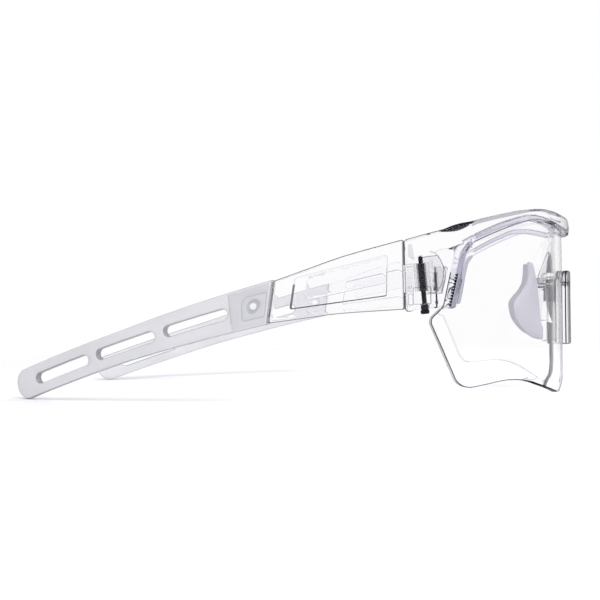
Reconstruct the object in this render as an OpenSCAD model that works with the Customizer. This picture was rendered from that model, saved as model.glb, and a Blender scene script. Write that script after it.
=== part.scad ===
// Clear wraparound cycling glasses: shield lens, half-rim brow frame, nose piece and folding temples.
// Millimetres, +Z up, front towards -Y, wearer's left towards +X, standing on the plane Z = 0.

/* [Lens] */
// Outside radius of the shield lens, seen from above
lens_radius = 64; // [58:0.5:70]
// Thickness of the lens
lens_thickness = 2; // [1.6:0.1:2.4]
// Height of the nose notch's top above the table
notch_top = 36; // [33:0.5:37]
// Half width of the nose notch at half height
notch_half_width = 11; // [9:0.25:12]

/* [Brow frame] */
// Wall of the frame in front of the lens
front_wall = 2.4; // [1.8:0.1:3]
// Wall of the frame behind the lens
rear_wall = 1.3; // [1:0.1:1.8]
// Depth to which the frame covers the lens edge
lip = 1.7; // [1.3:0.1:1.9]
// Gap between the lens and the groove that holds it
lens_play = 0.1; // [0.05:0.01:0.2]
// Height of the underside of the hinge block above the table
block_bottom = 27.5; // [26.5:0.25:28.5]
// Height of the hinge block's rear edge
block_height = 19.8; // [19:0.2:21]
// Distance from the hinge axis back to the shoulder where the temple meets the block
shoulder_back = 4.9; // [4.6:0.1:5.4]

/* [Temples] */
// Distance from the hinge axis back to the tip of the temple
temple_length = 135.6; // [125:0.2:145]
// Distance from the hinge axis back to the joint between arm and ear sock
arm_length = 44.4; // [40:0.2:48]
// Thickness of the clear arm
arm_thickness = 3.4; // [3:0.1:3.8]
// Angle by which each arm closes in towards the head
toe_in = 4; // [2:0.5:6]
// Radius of the inward curve of the ear socks, seen from above
wrap_radius = 258; // [230:2:300]
// Height of the ear sock where it starts
sock_height = 12.4; // [12:0.1:12.8]
// Height of the ear sock near its tip
tip_height = 9.8; // [9:0.1:10.4]
// Thickness of the ear sock where it starts
sock_thickness = 3.6; // [3.3:0.1:4.2]
// Thickness of the ear sock near its tip
tip_thickness = 2.8; // [2.4:0.1:3.2]
// Length of each slot in the ear sock
slot_length = 20.8; // [18:0.2:21.4]
// Width of each slot in the ear sock
slot_width = 3.4; // [3:0.1:3.8]
// Distance from one slot's middle to the next
slot_pitch = 24; // [23.4:0.1:24.4]
// Depth of the recess in the outside of the arm
recess_depth = 1.2; // [0.8:0.1:1.5]

/* [Hinge] */
// Backward lean of the hinge axis
hinge_lean = 4; // [2:0.5:6]
// Radius of the barrel at the front of the arm
barrel_radius = 2.2; // [2:0.05:2.3]
// Radius of the screw's shank
screw_radius = 0.75; // [0.65:0.05:0.85]
// Radius of the screw's head
head_radius = 1.25; // [1.15:0.05:1.35]
// Radial gap between the screw and what turns on it
screw_play = 0.05; // [0.03:0.01:0.08]
// Wall of the steel sleeve in the barrel
sleeve_wall = 0.5; // [0.4:0.05:0.6]
// Gap between the barrel's ends and the ears
ear_gap = 0.2; // [0.15:0.05:0.3]

/* [Nose piece] */
// Distance by which the front clip stands out from the lens
clip_proud = 2.8; // [2.2:0.1:3.4]
// Width of the clip's band around the notch
band_width = 2.6; // [2.2:0.1:3]
// Height of the lower ends of the clip and the carrier
clip_bottom = 14.5; // [12:0.5:16]
// Thickness of the soft nose pads
pad_thickness = 2.2; // [1.8:0.1:2.6]

/* [Hidden] */
$fn = 48;

clear_tint = [0.93, 0.94, 0.97, 0.45];
frosted_tint = [0.80, 0.80, 0.85, 0.9];
steel_tint = [0.35, 0.35, 0.38];

// A cut runs this far past the face that it opens
past = 1;
lens_inner = lens_radius - lens_thickness;
groove_outer = lens_radius + lens_play;
groove_inner = lens_inner - lens_play;
frame_outer = groove_outer + front_wall;
frame_inner = groove_inner - rear_wall;

// Where the lens's side edge sits in the frame, as an angle around the lens
edge_angle = 66;
edge_x = lens_radius * sin(edge_angle);
edge_depth = lens_radius * (1 - cos(edge_angle));
// Hinge axis, from the lens edge, at the height of the barrel's middle
hinge_x = edge_x + 0.9;
hinge_depth = edge_depth + 5.6;
hinge_z = block_bottom + 9.6;
screw_bore = screw_radius + screw_play;
sleeve_radius = screw_bore + sleeve_wall;
overall_depth = clip_proud + hinge_depth + temple_length;
// The lens's front lies this far in front of the origin
front_y = clip_proud - overall_depth / 2;

// Angle around the lens, height of the frame's lower edge, height of its upper edge
brow_line = [[0, 50.3, 55.2], [8, 50.3, 55.4], [18, 51.6, 56.0], [28, 53.0, 56.9], [36, 53.3, 56.7],
    [44, 51.6, 55.4], [51, 49.2, 53.8], [57, 46.6, 51.9], [64, 43.0, 50.0], [70, 40.0, 48.3]];

// Gap all round between pieces that clip together
fit_gap = 0.1;

function unit(v) = v / norm(v);
function turn(from, to) = let (a = to - from) a > 180 ? a - 360 : a < -180 ? a + 360 : a;

// One corner of an outline as an arc of radius r, or as a point where r is 0
function corner(p, q, s, r) = r == 0 ? [q] :
    let (a = unit(p - q), b = unit(s - q), half = acos(a * b) / 2,
        reach = min(r / tan(half), norm(p - q) * 0.49, norm(s - q) * 0.49),
        radius = reach * tan(half), centre = q + unit(a + b) * radius / sin(half),
        first = q + a * reach - centre, last = q + b * reach - centre,
        start = atan2(first[1], first[0]), sweep = turn(start, atan2(last[1], last[0])),
        steps = max(2, ceil(abs(sweep) / 14)))
    [for (i = [0:steps]) centre + radius * [cos(start + sweep * i / steps), sin(start + sweep * i / steps)]];

// An outline of [x, y, radius] corners with each corner rounded
function rounded(p) = let (n = len(p)) [for (i = [0:n - 1])
    let (a = p[(i + n - 1) % n], b = p[i], c = p[(i + 1) % n])
    each corner([a[0], a[1]], [b[0], b[1]], [c[0], c[1]], b[2])];

// Smooth value of one column of a table whose first column is the position
function slope(t, i, c) = let (a = max(i - 1, 0), b = min(i + 1, len(t) - 1))
    (t[b][c] - t[a][c]) / (t[b][0] - t[a][0]);
function smooth(t, x, c, i = 0) = i < len(t) - 2 && x > t[i + 1][0] ? smooth(t, x, c, i + 1) :
    let (w = t[i + 1][0] - t[i][0], u = (x - t[i][0]) / w)
    t[i][c] * (1 + 2 * u) * (1 - u) * (1 - u) + t[i + 1][c] * u * u * (3 - 2 * u)
    + w * (slope(t, i, c) * u * (1 - u) * (1 - u) - slope(t, i + 1, c) * u * u * (1 - u));

// Faces of a skin over rings of m points, closed by a cap at each end
function skin(rings, m) = concat([[for (j = [m - 1:-1:0]) j]],
    [for (i = [0:rings - 2], j = [0:m - 1]) let (k = (j + 1) % m) each [
        [i * m + j, (i + 1) * m + k, (i + 1) * m + j], [i * m + j, i * m + k, (i + 1) * m + k]]],
    [[for (j = [0:m - 1]) (rings - 1) * m + j]]);

// A point at an angle around the lens and at a radius, with the lens's front at the origin
function around(a, r, z) = [r * sin(a), lens_radius - r * cos(a), z];
// The depth behind the lens's front of a point on its outside
function depth_at(a) = lens_radius * (1 - cos(a));

module outward(t) { rotate([90, 0, 90]) linear_extrude(t) children(); }
module backward(t) { translate([0, t, 0]) rotate([90, 0, 0]) linear_extrude(t) children(); }
module at_front() { translate([0, front_y, 0]) children(); }
module left() { children(); }
module right() { mirror([1, 0, 0]) children(); }
module both() { left() children(); right() children(); }
module at_hinge() {
    at_front() translate([hinge_x, hinge_depth, hinge_z]) rotate([-hinge_lean, 0, 0]) children();
}
module at_arm() { at_front() translate([hinge_x, hinge_depth, 0]) rotate([0, 0, toe_in]) children(); }

// Lens
// Angle around the lens at which its foot beside the notch ends
lens_foot = 19.6;
wall_height = 62;
function lens_edge_top(a) = smooth(brow_line, a, 1) + lip;

// Outline of one half of the lens from the side, as depth and height, grown by g
function lens_side(g) = concat(
    rounded([[-past, lens_edge_top(0) + g, 0], [-past, -g, 0], [depth_at(lens_foot), -g, 0],
        [depth_at(41), 6.7 - g, 40], [depth_at(61.5) + g, 3.9 - g, 5], [depth_at(69.6) + g, 24.4, 2.4],
        [depth_at(66) + g, 27.8, 4], [depth_at(62) + g, lens_edge_top(62) + g, 3]]),
    [for (a = [58:-4:2]) [depth_at(a), lens_edge_top(a) + g]]);

// Outline of the nose notch from the front, grown by g
function notch(g) = let (w = notch_half_width, top = notch_top, half = [[w * 2.05 + g, -3, 0],
        [w * 1.36 + g, 6.5, 16], [w * 0.87 + g, top - 7, 20], [w * 0.75 + g, top + g, 7 + g]])
    rounded(concat(half, [for (i = [3:-1:0]) [-half[i][0], half[i][1], half[i][2]]]));

// Everything within a radius of the middle of the lens's curve, longer at both ends by over
module within(radius, over = 0) {
    translate([0, lens_radius, -past - over]) cylinder(r = radius, h = wall_height + 2 * over, $fn = 96);
}

module lens_wall(outer, inner) {
    difference() {
        within(outer);
        within(inner, past);
    }
}

// The part of a curved wall that the lens takes up, grown by g
module lens_sheet(outer, inner, g) {
    intersection() {
        lens_wall(outer, inner);
        translate([-outer - past, 0, 0]) outward(2 * (outer + past)) polygon(lens_side(g));
    }
}

module shield_lens() {
    color(clear_tint) at_front() difference() {
        lens_sheet(lens_radius, lens_inner, 0);
        translate([0, -past, 0]) backward(20) polygon(notch(0));
    }
}

// Frame
// Angle between the points of the brow's outline, and the angle at which the brow ends in the block
brow_step = 4;
brow_reach = edge_angle - 4;
// Depth by which the brow's front curves back from its crest
brow_crown = 1;

// Outline of the brow bar from the side
function brow_side() = concat([for (column = [1, 2]) [-front_wall - past, smooth(brow_line, 0, column)]],
    [for (a = [2:brow_step:brow_reach]) [depth_at(a), smooth(brow_line, a, 2)]],
    [for (a = [brow_reach:-brow_step:2]) [depth_at(a), smooth(brow_line, a, 1)]]);

// Section of the ring that the brow bar is cut from, with a crowned front
function ring_section() = let (low = 38, high = 60, crest = 52, half = (high - low) / 2)
    concat([[frame_inner, high], [frame_inner, low]],
        [for (z = [low:2:high]) [frame_outer - brow_crown * pow((z - crest) / half, 2), z]]);

module brow_bar() {
    intersection() {
        translate([0, lens_radius, 0]) rotate_extrude($fn = 96) polygon(ring_section());
        translate([-frame_outer, 0, 0]) outward(2 * frame_outer) polygon(brow_side());
    }
}

block_inner = hinge_x - 2.8;
block_outer = hinge_x + 3.6;
block_rear = hinge_depth + shoulder_back - ear_gap;
block_top = block_bottom + block_height;
// Angle around the lens of the claw's front edge
claw_front = edge_angle - 4.8;

// Outline of the claw and hinge block from above
function block_plan() = let (r = shoulder_back - ear_gap,
        nose_out = around(brow_reach - 2.5, frame_outer - 0.4, 0),
        nose_in = around(brow_reach - 1.5, frame_inner + 0.2, 0),
        claw_out = around(edge_angle - 1, frame_outer, 0),
        claw_in = around(edge_angle - 0.5, frame_inner, 0))
    rounded(concat([[nose_in[0], nose_in[1], 0], [nose_out[0], nose_out[1], 0],
        [claw_out[0], claw_out[1], 12], [block_outer, hinge_depth - 1.5, 8], [block_outer, block_rear, 0.4]],
        [for (a = [90:10:120]) [hinge_x + r * cos(a), hinge_depth + r * sin(a), 0]],
        [[block_inner, hinge_depth + 2.5, 0], [block_inner, hinge_depth - 3, 2],
        [claw_in[0], claw_in[1], 4]]));

// Outline of the claw and hinge block from the side
function block_side() = let (start = brow_reach - 3)
    rounded([[depth_at(start), smooth(brow_line, start, 2) - 0.8, 0], [block_rear, block_top, 0.6],
        [block_rear, block_bottom, 0.8], [depth_at(claw_front + 2.4), block_bottom, 1],
        [depth_at(claw_front), block_bottom + 9, 12], [depth_at(claw_front) - 0.5, block_bottom + 14.5, 3],
        [depth_at(start - 0.5), smooth(brow_line, start - 0.5, 1) + 0.6, 0]]);

module block() {
    intersection() {
        translate([0, 0, block_bottom - past]) linear_extrude(30) polygon(block_plan());
        outward(80) polygon(block_side());
    }
}

// Heights from the hinge axis's origin
barrel_low = -4.4;
barrel_high = 3.4;
barrel_length = barrel_high - barrel_low;
// Wall left outside the barrel's pocket
pocket_skin = 1.15;
// Gap around the turning barrel
swing = 0.25;
// Reach of the hollow ahead of the hinge axis
core_reach = 6.2;

// Room between the ears for the barrel and for the arm as it folds
module hinge_pocket() {
    at_hinge() {
        wide = 20;
        low = barrel_low - ear_gap;
        tall = barrel_length + 2 * ear_gap;
        skin_at = block_outer - hinge_x - pocket_skin;
        translate([0, 0, low]) cylinder(r = barrel_radius + swing, h = tall);
        translate([skin_at - wide, 0, low]) cube([wide, wide, tall]);
        translate([-wide, -barrel_radius - swing, low]) cube([wide, wide, tall]);
        translate([-0.9, 0, 0]) outward(1.4) polygon(rounded([[0, low + 0.8, 0], [0, low + tall, 0],
            [-core_reach + 1.8, low + tall, 2], [-core_reach, 0.6, 9], [-core_reach + 1, low + 0.8, 1.2]]));
    }
}

screw_top = 5.6;
ear_low = -9.4;
counterbore = 1.4;
screw_chamfer = 0.6;

module screw_holes() {
    at_hinge() {
        translate([0, 0, ear_low - 3]) cylinder(r = screw_bore, h = screw_top + 0.2 - ear_low + 3);
        translate([0, 0, ear_low - 3]) cylinder(r = head_radius + 0.15, h = 3 + counterbore);
    }
}

// Tab that hooks the middle of the lens from behind
tab_width = 5.2;
tab_low = smooth(brow_line, 0, 1) - 1.9;
module centre_tab() {
    back = lens_radius - groove_inner;
    high = tab_low + 3.6;
    translate([-tab_width / 2, 0, 0]) outward(tab_width)
        polygon(rounded([[back - 0.3, high, 0], [back - 0.3, tab_low, 0],
            [back + rear_wall - 0.1, tab_low, 0.5], [back + rear_wall + 0.4, high, 0]]));
}

module front_frame() {
    color(clear_tint) difference() {
        at_front() {
            brow_bar();
            centre_tab();
            both() block();
        }
        at_front() lens_sheet(groove_outer, groove_inner, lens_play);
        both() {
            hinge_pocket();
            screw_holes();
        }
    }
}

// Temple
arm_outer = 2.8;
arm_inner = arm_outer - arm_thickness;
arm_rear_top = 36.5;
arm_rear_low = 24;
joint_slant = 1.05;
tongue_length = 12;
tongue_thickness = 1.6;
pin_back = 5.2;
pin_radius = 1;
boss_radius = 2.1;
boss_height = tongue_thickness + 0.8;
sock_gap = 0.4;
joint_z = (arm_rear_top + arm_rear_low) / 2;
arm_mid = (arm_outer + arm_inner) / 2;

function arm_side() = rounded([[shoulder_back, block_top + 0.2, 0.3], [arm_length * 0.5, 43.4, 120],
    [arm_length - joint_slant, arm_rear_top, 0.5], [arm_length + joint_slant, arm_rear_low, 0.5],
    [arm_length * 0.54, 26.6, 120], [shoulder_back, block_bottom, 0.3]]);

// Outlines of the arm's recess, and of the plaque that sits in it shrunk by g
recess_front = 9.2;
recess_top = 43.4;
recess_rear_top = 37.4;
recess_low = 31.4;
recess_rear_low = 28;
recess_rear = 5.8;
inlay_step = 2.8;
inlay_seat = 0.02;
inlay_thickness = recess_depth * 0.6;
function recess_side() = rounded([[recess_front, recess_top, 0.6], [recess_front + 0.6, recess_low, 0.6],
    [arm_length - recess_rear, recess_rear_low, 0.6],
    [arm_length - recess_rear - 1.6, recess_rear_top, 1.2]]);
function inlay_side(g) = rounded([[recess_front + g, recess_top - g, 0.6],
    [recess_front + 0.5 + g, recess_low + inlay_step + g, 0.6],
    [arm_length - 2.1 * recess_rear, recess_rear_low + inlay_step * 0.85 + g, 1.6],
    [arm_length - 1.9 * recess_rear - g, recess_rear_top + 0.6 - g, 1]]);

// Tongue at the arm's rear that the ear sock is moulded over, grown by g
function tongue_side(g) = let (root = arm_length - 4, end = arm_length + tongue_length + g,
        half = sock_height * 0.32)
    rounded([[root, joint_z + half + g, 0], [root, joint_z - half * 0.83 - g, 0],
        [end - 1.2, joint_z - half * 1.34 - g, 1], [end, joint_z + half * 0.63 + g, 1]]);
module tongue_shape(g) {
    translate([arm_mid - tongue_thickness / 2 - g, 0, 0])
        outward(tongue_thickness + 2 * g) polygon(tongue_side(g));
}

module at_pin() {
    translate([arm_mid, arm_length + pin_back, joint_z - 1.1]) rotate([0, 90, 0]) children();
}
module pin_hole() { cylinder(r = pin_radius + 0.05, h = 10, center = true); }

module temple_arm() {
    color(clear_tint) difference() {
        union() {
            at_arm() {
                translate([arm_inner, 0, 0]) outward(arm_thickness) polygon(arm_side());
                tongue_shape(0);
                at_pin() cylinder(r = boss_radius, h = boss_height, center = true);
            }
            at_hinge() translate([0, 0, barrel_low]) {
                cylinder(r = barrel_radius, h = barrel_length);
                rotate([0, 0, toe_in]) translate([arm_inner, 0, 0])
                    cube([barrel_radius - arm_inner, shoulder_back + 1, barrel_length]);
            }
        }
        at_hinge() translate([0, 0, barrel_low - past])
            cylinder(r = sleeve_radius + 0.02, h = barrel_length + 2 * past);
        at_arm() {
            translate([arm_outer - recess_depth, 0, 0]) outward(recess_depth + past) polygon(recess_side());
            at_pin() pin_hole();
        }
    }
}

module arm_inlay() {
    color(clear_tint) at_arm() translate([arm_outer - recess_depth + inlay_seat, 0, 0])
        outward(inlay_thickness) polygon(inlay_side(fit_gap));
}

// Ear sock
tip_radius = tip_height / 2;
sock_edge = 1.1;
sock_run = temple_length - arm_length * cos(toe_in) - sock_gap;
sock_x = arm_mid * cos(toe_in) - (arm_length + sock_gap) * sin(toe_in);
// The sock falls along a parabola from the joint to a tip that stands on the plane
sock_droop = 0.00075;
sock_round = sock_run - tip_radius;
sock_fall = (joint_z - tip_radius - sock_droop * pow(sock_round, 2)) / sock_round;

function sock_centre(s) = [sock_x - s * tan(toe_in) - s * s / (2 * wrap_radius),
    arm_length * cos(toe_in) + sock_gap + s, joint_z - sock_fall * s - sock_droop * s * s];
function sock_along(s) = unit([-tan(toe_in) - s / wrap_radius, 1, -sock_fall - 2 * sock_droop * s]);
function sock_out(s) = unit([1, tan(toe_in) + s / wrap_radius, 0]);
function sock_up(s) = cross(sock_out(s), sock_along(s));

sock_stations = concat([for (i = [0:14]) sock_round * i / 14],
    [for (a = [15, 30, 45, 60, 75, 84]) sock_round + tip_radius * sin(a)]);
function sock_half(s) = s > sock_round ? sqrt(pow(tip_radius, 2) - pow(s - sock_round, 2)) :
    sock_height / 2 + (tip_radius - sock_height / 2) * min(1, s / (sock_round * 0.56));
// Thickness at s, which lessens to the tip and in its round end
function sock_width(s) = s > sock_round ? tip_thickness * (0.55 + 0.45 * sock_half(s) / tip_radius) :
    sock_thickness + (tip_thickness - sock_thickness) * s / sock_round;

// A rounded rectangle of half width w and half height h with corners of radius r
function pill(w, h, r) = [for (q = [[1, 1], [-1, 1], [-1, -1], [1, -1]], t = [0:30:90])
    let (a = (q[0] > 0 ? (q[1] > 0 ? 0 : 270) : (q[1] > 0 ? 90 : 180)) + t)
    [q[0] * (w - r) + r * cos(a), q[1] * (h - r) + r * sin(a)]];

// Centre of a ring at s, which runs straight on in the round tip
function ring_centre(s) = let (t = min(s, sock_round)) sock_centre(t) + sock_along(t) * (s - t);

module sock_body() {
    points = [for (s = sock_stations) let (t = min(s, sock_round), h = sock_half(s),
            w = sock_width(s) / 2, lean = max(0, 1 - s / 20),
            turned = lean * (joint_slant / (sock_height / 2) + sock_fall))
        each [for (p = pill(w, h, min(sock_edge, w * 0.95, h * 0.95)))
            ring_centre(s) + sock_out(t) * p[0] + sock_up(t) * p[1] - sock_along(t) * p[1] * turned]];
    polyhedron(points, skin(len(sock_stations), 16), convexity = 4);
}

slot_first = 23.4;

module sock_slots() {
    for (i = [0:2]) let (s = slot_first + i * slot_pitch, c = sock_centre(s), t = sock_along(s))
        translate(c) rotate([0, 0, atan2(-t[0], t[1])]) rotate([asin(t[2]), 0, 0])
            translate([-10, 0, 0]) outward(20) union() {
                square([slot_length - slot_width, slot_width], center = true);
                for (e = [-1, 1]) translate([e * (slot_length - slot_width) / 2, 0]) circle(d = slot_width);
            }
}

module ear_sock() {
    color(frosted_tint) difference() {
        at_front() translate([hinge_x, hinge_depth, 0]) difference() {
            sock_body();
            sock_slots();
        }
        at_arm() {
            tongue_shape(fit_gap);
            at_pin() {
                cylinder(r = boss_radius + fit_gap, h = boss_height + 2 * fit_gap, center = true);
                pin_hole();
            }
        }
    }
}

module sock_pin() {
    color(clear_tint) at_arm() at_pin() cylinder(r = pin_radius, h = sock_thickness, center = true);
}

// Hinge hardware
head_height = 2.7;
collar_height = 1.2;
neck_height = 0.2;
drive_width = 0.3;
drive_depth = 0.6;
washer_height = 0.3;

module hinge_screw() {
    color(steel_tint) at_hinge() difference() {
        seat = ear_low + counterbore - washer_height;
        union() {
            translate([0, 0, seat]) cylinder(r = screw_radius, h = screw_top - screw_chamfer - seat);
            translate([0, 0, screw_top - screw_chamfer])
                cylinder(r1 = screw_radius, r2 = screw_radius * 0.6, h = screw_chamfer);
            translate([0, 0, seat - collar_height]) cylinder(r = head_radius, h = collar_height);
            translate([0, 0, seat - collar_height - neck_height])
                cylinder(r = head_radius * 0.82, h = neck_height + 0.1);
            translate([0, 0, seat - head_height])
                cylinder(r1 = head_radius * 0.9, r2 = head_radius,
                    h = head_height - collar_height - neck_height);
        }
        translate([-head_radius - past, -drive_width / 2, seat - head_height - past])
            cube([2 * (head_radius + past), drive_width, past + drive_depth]);
    }
}

module hinge_washer() {
    color(steel_tint) at_hinge() translate([0, 0, ear_low + counterbore - washer_height]) difference() {
        cylinder(r = head_radius + 0.05, h = washer_height);
        translate([0, 0, -past]) cylinder(r = screw_bore, h = washer_height + 2 * past);
    }
}

module hinge_sleeve() {
    color(steel_tint) at_hinge() translate([0, 0, barrel_low]) difference() {
        cylinder(r = sleeve_radius, h = barrel_length);
        translate([0, 0, -past]) cylinder(r = screw_bore, h = barrel_length + 2 * past);
    }
}

// Nose piece
// Depth of the rims that fill the notch from both sides of the lens, and the gap around them
rim_depth = 1.2;
seat_gap = 0.03;
carrier_depth = 3.2;
carrier_outer = lens_inner - seat_gap;
carrier_inner = carrier_outer - carrier_depth;
peg_x = 3;
peg_z = notch_top - 1.3;
peg_radius = 0.8;
peg_length = 3.4;

// Strip around the notch from the front, between two offsets of the notch's edge
module band(out, in) {
    intersection() {
        difference() {
            polygon(notch(out));
            polygon(notch(in));
        }
        translate([-30, clip_bottom]) square([60, 60]);
    }
}

// A strip around the notch that lies between two radii of the lens's curve
module wrapped_band(out, in, outer, inner) {
    intersection() {
        translate([0, -10, 0]) backward(30) band(out, in);
        lens_wall(outer, inner);
    }
}

module pegs() {
    for (side = [-1, 1]) translate([side * peg_x, 0, peg_z]) rotate([90, 0, 0]) children();
}

module nose_clip() {
    color(clear_tint) at_front() {
        wrapped_band(band_width, -rim_depth, lens_radius + clip_proud, lens_radius + seat_gap);
        wrapped_band(-fit_gap, -rim_depth, lens_radius + clip_proud, carrier_outer + seat_gap);
        pegs() translate([0, 0, -lens_thickness - peg_length])
            cylinder(r = peg_radius, h = lens_thickness + peg_length + 1.2);
    }
}

stem_width = 4.8;
stem_depth = 5.6;
stem_top = tab_low - 0.2;

// Outline of the stem behind the lens, from the brow's tab down to the bridge
function stem_side() = let (back = lens_thickness + seat_gap)
    rounded([[back, stem_top, 0], [back + 1.2, stem_top, 0.4], [back + 2.4, stem_top - 3.6, 4],
        [back + stem_depth, notch_top + 1, 1], [back + stem_depth - 0.2, peg_z, 0.5], [back, peg_z, 0]]);

// Middle of the left pad from the lens's front, and how it leans to the nose and opens towards the face
pad_middle = [11, 7.3, 29];
pad_tilt = 13;
pad_splay = 24;
// Reaches of the pad from its middle
pad_front = 4;
pad_rear = 12.2;
pad_high = 13.4;
pad_low = 13.1;
blade = 1;

module at_pad() {
    at_front() translate(pad_middle) rotate([0, 0, -pad_splay]) rotate([0, -pad_tilt, 0]) children();
}
module flat_plate(t) { translate([-t / 2, 0, 0]) outward(t) children(); }

// Outline of the blade that carries a pad, and of the pad, both from the side and about the pad's middle
function blade_side(g) = rounded([[0.5 - pad_front, pad_high * 0.37 + g, 0],
    [pad_front + g, pad_high * 0.15 + g, 1.5], [pad_front + 1 + g, -pad_low * 0.42 - g, 1.5],
    [0.5 - pad_front, -pad_low * 0.63 - g, 0]]);
function pad_side() = rounded([[-pad_front, pad_high * 0.78, 0], [pad_front * 0.75, pad_high, 1.2],
    [pad_rear * 0.43, pad_high * 0.39, 9], [pad_rear, -pad_low * 0.03, 3.2],
    [pad_rear * 0.95, -pad_low * 0.51, 7], [pad_rear * 0.51, -pad_low, 6],
    [-pad_front, -pad_low * 0.98, 0]]);

module nose_carrier() {
    color(clear_tint) difference() {
        union() {
            at_front() {
                wrapped_band(band_width - 0.4, -rim_depth, carrier_outer, carrier_inner);
                intersection() {
                    translate([-stem_width / 2, 0, 0]) outward(stem_width) polygon(stem_side());
                    within(carrier_outer);
                }
                pegs() translate([0, 0, -lens_thickness - peg_length - 0.8])
                    cylinder(r = peg_radius + 0.9, h = peg_length);
            }
            both() intersection() {
                at_pad() flat_plate(blade) polygon(blade_side(0));
                at_front() within(carrier_outer);
            }
        }
        at_front() pegs() translate([0, 0, -12]) cylinder(r = peg_radius + 0.03, h = 12);
    }
}

module nose_pad() {
    color(frosted_tint) difference() {
        intersection() {
            at_pad() flat_plate(pad_thickness) polygon(pad_side());
            at_front() within(carrier_inner - fit_gap);
        }
        at_pad() flat_plate(blade + 2 * fit_gap) polygon(blade_side(fit_gap));
    }
}

front_frame();
shield_lens();
nose_clip();
nose_carrier();
left() nose_pad();  // nose_pad_left
right() nose_pad();  // nose_pad_right
left() temple_arm();  // temple_arm_left
right() temple_arm();  // temple_arm_right
left() arm_inlay();  // arm_inlay_left
right() arm_inlay();  // arm_inlay_right
left() ear_sock();  // ear_sock_left
right() ear_sock();  // ear_sock_right
left() sock_pin();  // sock_pin_left
right() sock_pin();  // sock_pin_right
left() hinge_screw();  // hinge_screw_left
right() hinge_screw();  // hinge_screw_right
left() hinge_washer();  // hinge_washer_left
right() hinge_washer();  // hinge_washer_right
left() hinge_sleeve();  // hinge_sleeve_left
right() hinge_sleeve();  // hinge_sleeve_right
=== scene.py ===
import math

import bmesh
import bpy
import numpy as np
from mathutils import Matrix, Vector
from mathutils.geometry import delaunay_2d_cdt


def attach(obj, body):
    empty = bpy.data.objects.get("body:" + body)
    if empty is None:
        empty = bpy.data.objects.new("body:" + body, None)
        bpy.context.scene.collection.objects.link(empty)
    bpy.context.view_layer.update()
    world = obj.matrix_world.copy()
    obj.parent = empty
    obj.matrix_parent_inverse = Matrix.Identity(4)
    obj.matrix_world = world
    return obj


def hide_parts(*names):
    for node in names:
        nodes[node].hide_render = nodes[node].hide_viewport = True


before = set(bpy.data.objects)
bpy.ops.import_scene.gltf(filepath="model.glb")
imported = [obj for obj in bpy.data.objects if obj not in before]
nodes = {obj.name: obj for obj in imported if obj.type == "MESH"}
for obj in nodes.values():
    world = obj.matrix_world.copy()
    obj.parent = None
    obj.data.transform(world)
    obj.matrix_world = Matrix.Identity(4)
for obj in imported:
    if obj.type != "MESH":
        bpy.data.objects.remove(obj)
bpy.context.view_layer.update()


# Shield lens
# One clear polycarbonate sheet, 2 mm thick, bent round one upright axis and cut to outline.
# Its top and side edges sit in the frame's groove, and its edges are painted with dark shade lines.
# All sizes here and below are in millimetres until a mesh is made.
LENS_RADIUS = 64.0
LENS_THICKNESS = 2.0
LENS_FRONT = -88.1845
LENS_FOOT = 19.6
NOTCH_TOP = 36.0
NOTCH_HALF = 11.0
LIP = 1.7
# Angle round the lens, then the heights of the frame's lower and upper edge
BROW_LINE = [(0, 50.3, 55.2), (8, 50.3, 55.4), (18, 51.6, 56.0), (28, 53.0, 56.9), (36, 53.3, 56.7),
             (44, 51.6, 55.4), (51, 49.2, 54.0), (57, 46.6, 52.5), (64, 43.0, 50.6), (70, 40.0, 48.8)]


def sin(a):
    return math.sin(math.radians(a))


def cos(a):
    return math.cos(math.radians(a))


def smooth(table, x, column):
    """Smooth value of one column of a table whose first column is the position."""
    def slope(i):
        a, b = max(i - 1, 0), min(i + 1, len(table) - 1)
        return (table[b][column] - table[a][column]) / (table[b][0] - table[a][0])
    i = 0
    while i < len(table) - 2 and x > table[i + 1][0]:
        i += 1
    w = table[i + 1][0] - table[i][0]
    u = (x - table[i][0]) / w
    return (table[i][column] * (1 + 2 * u) * (1 - u) ** 2 + table[i + 1][column] * u * u * (3 - 2 * u)
            + w * (slope(i) * u * (1 - u) ** 2 - slope(i + 1) * u * u * (1 - u)))


def rounded(corners, turn_step=9):
    """An outline of (x, y, radius) corners with each corner rounded."""
    points, n = [], len(corners)
    for i in range(n):
        p, q, s = (np.array(corners[(i + k - 1) % n][:2], float) for k in range(3))
        r = corners[i][2]
        if r == 0:
            points.append(q)
            continue
        a, b = (p - q) / np.linalg.norm(p - q), (s - q) / np.linalg.norm(s - q)
        half = math.acos(max(-1, min(1, a @ b))) / 2
        reach = min(r / math.tan(half), np.linalg.norm(p - q) * 0.49, np.linalg.norm(s - q) * 0.49)
        radius = reach * math.tan(half)
        centre = q + (a + b) / np.linalg.norm(a + b) * radius / math.sin(half)
        first, last = q + a * reach - centre, q + b * reach - centre
        start = math.atan2(first[1], first[0])
        sweep = math.atan2(last[1], last[0]) - start
        sweep = (sweep + math.pi) % (2 * math.pi) - math.pi
        steps = max(2, math.ceil(abs(math.degrees(sweep)) / turn_step))
        points += [centre + radius * np.array([math.cos(start + sweep * k / steps),
                                               math.sin(start + sweep * k / steps)])
                   for k in range(steps + 1)]
    return points


def dense(loop, step):
    """The loop with each long side cut into steps, and running anticlockwise."""
    out = []
    for p, q in zip(loop, loop[1:] + loop[:1]):
        p, q = np.array(p, float), np.array(q, float)
        length = np.linalg.norm(q - p)
        if length < 1e-4:
            continue
        n = max(1, round(length / step))
        out += [p + (q - p) * k / n for k in range(n)]
    out = np.array(out)
    x, y = out[:, 0], out[:, 1]
    if np.sum(x * np.roll(y, -1) - np.roll(x, -1) * y) < 0:
        out = out[::-1]
    return out


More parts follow.
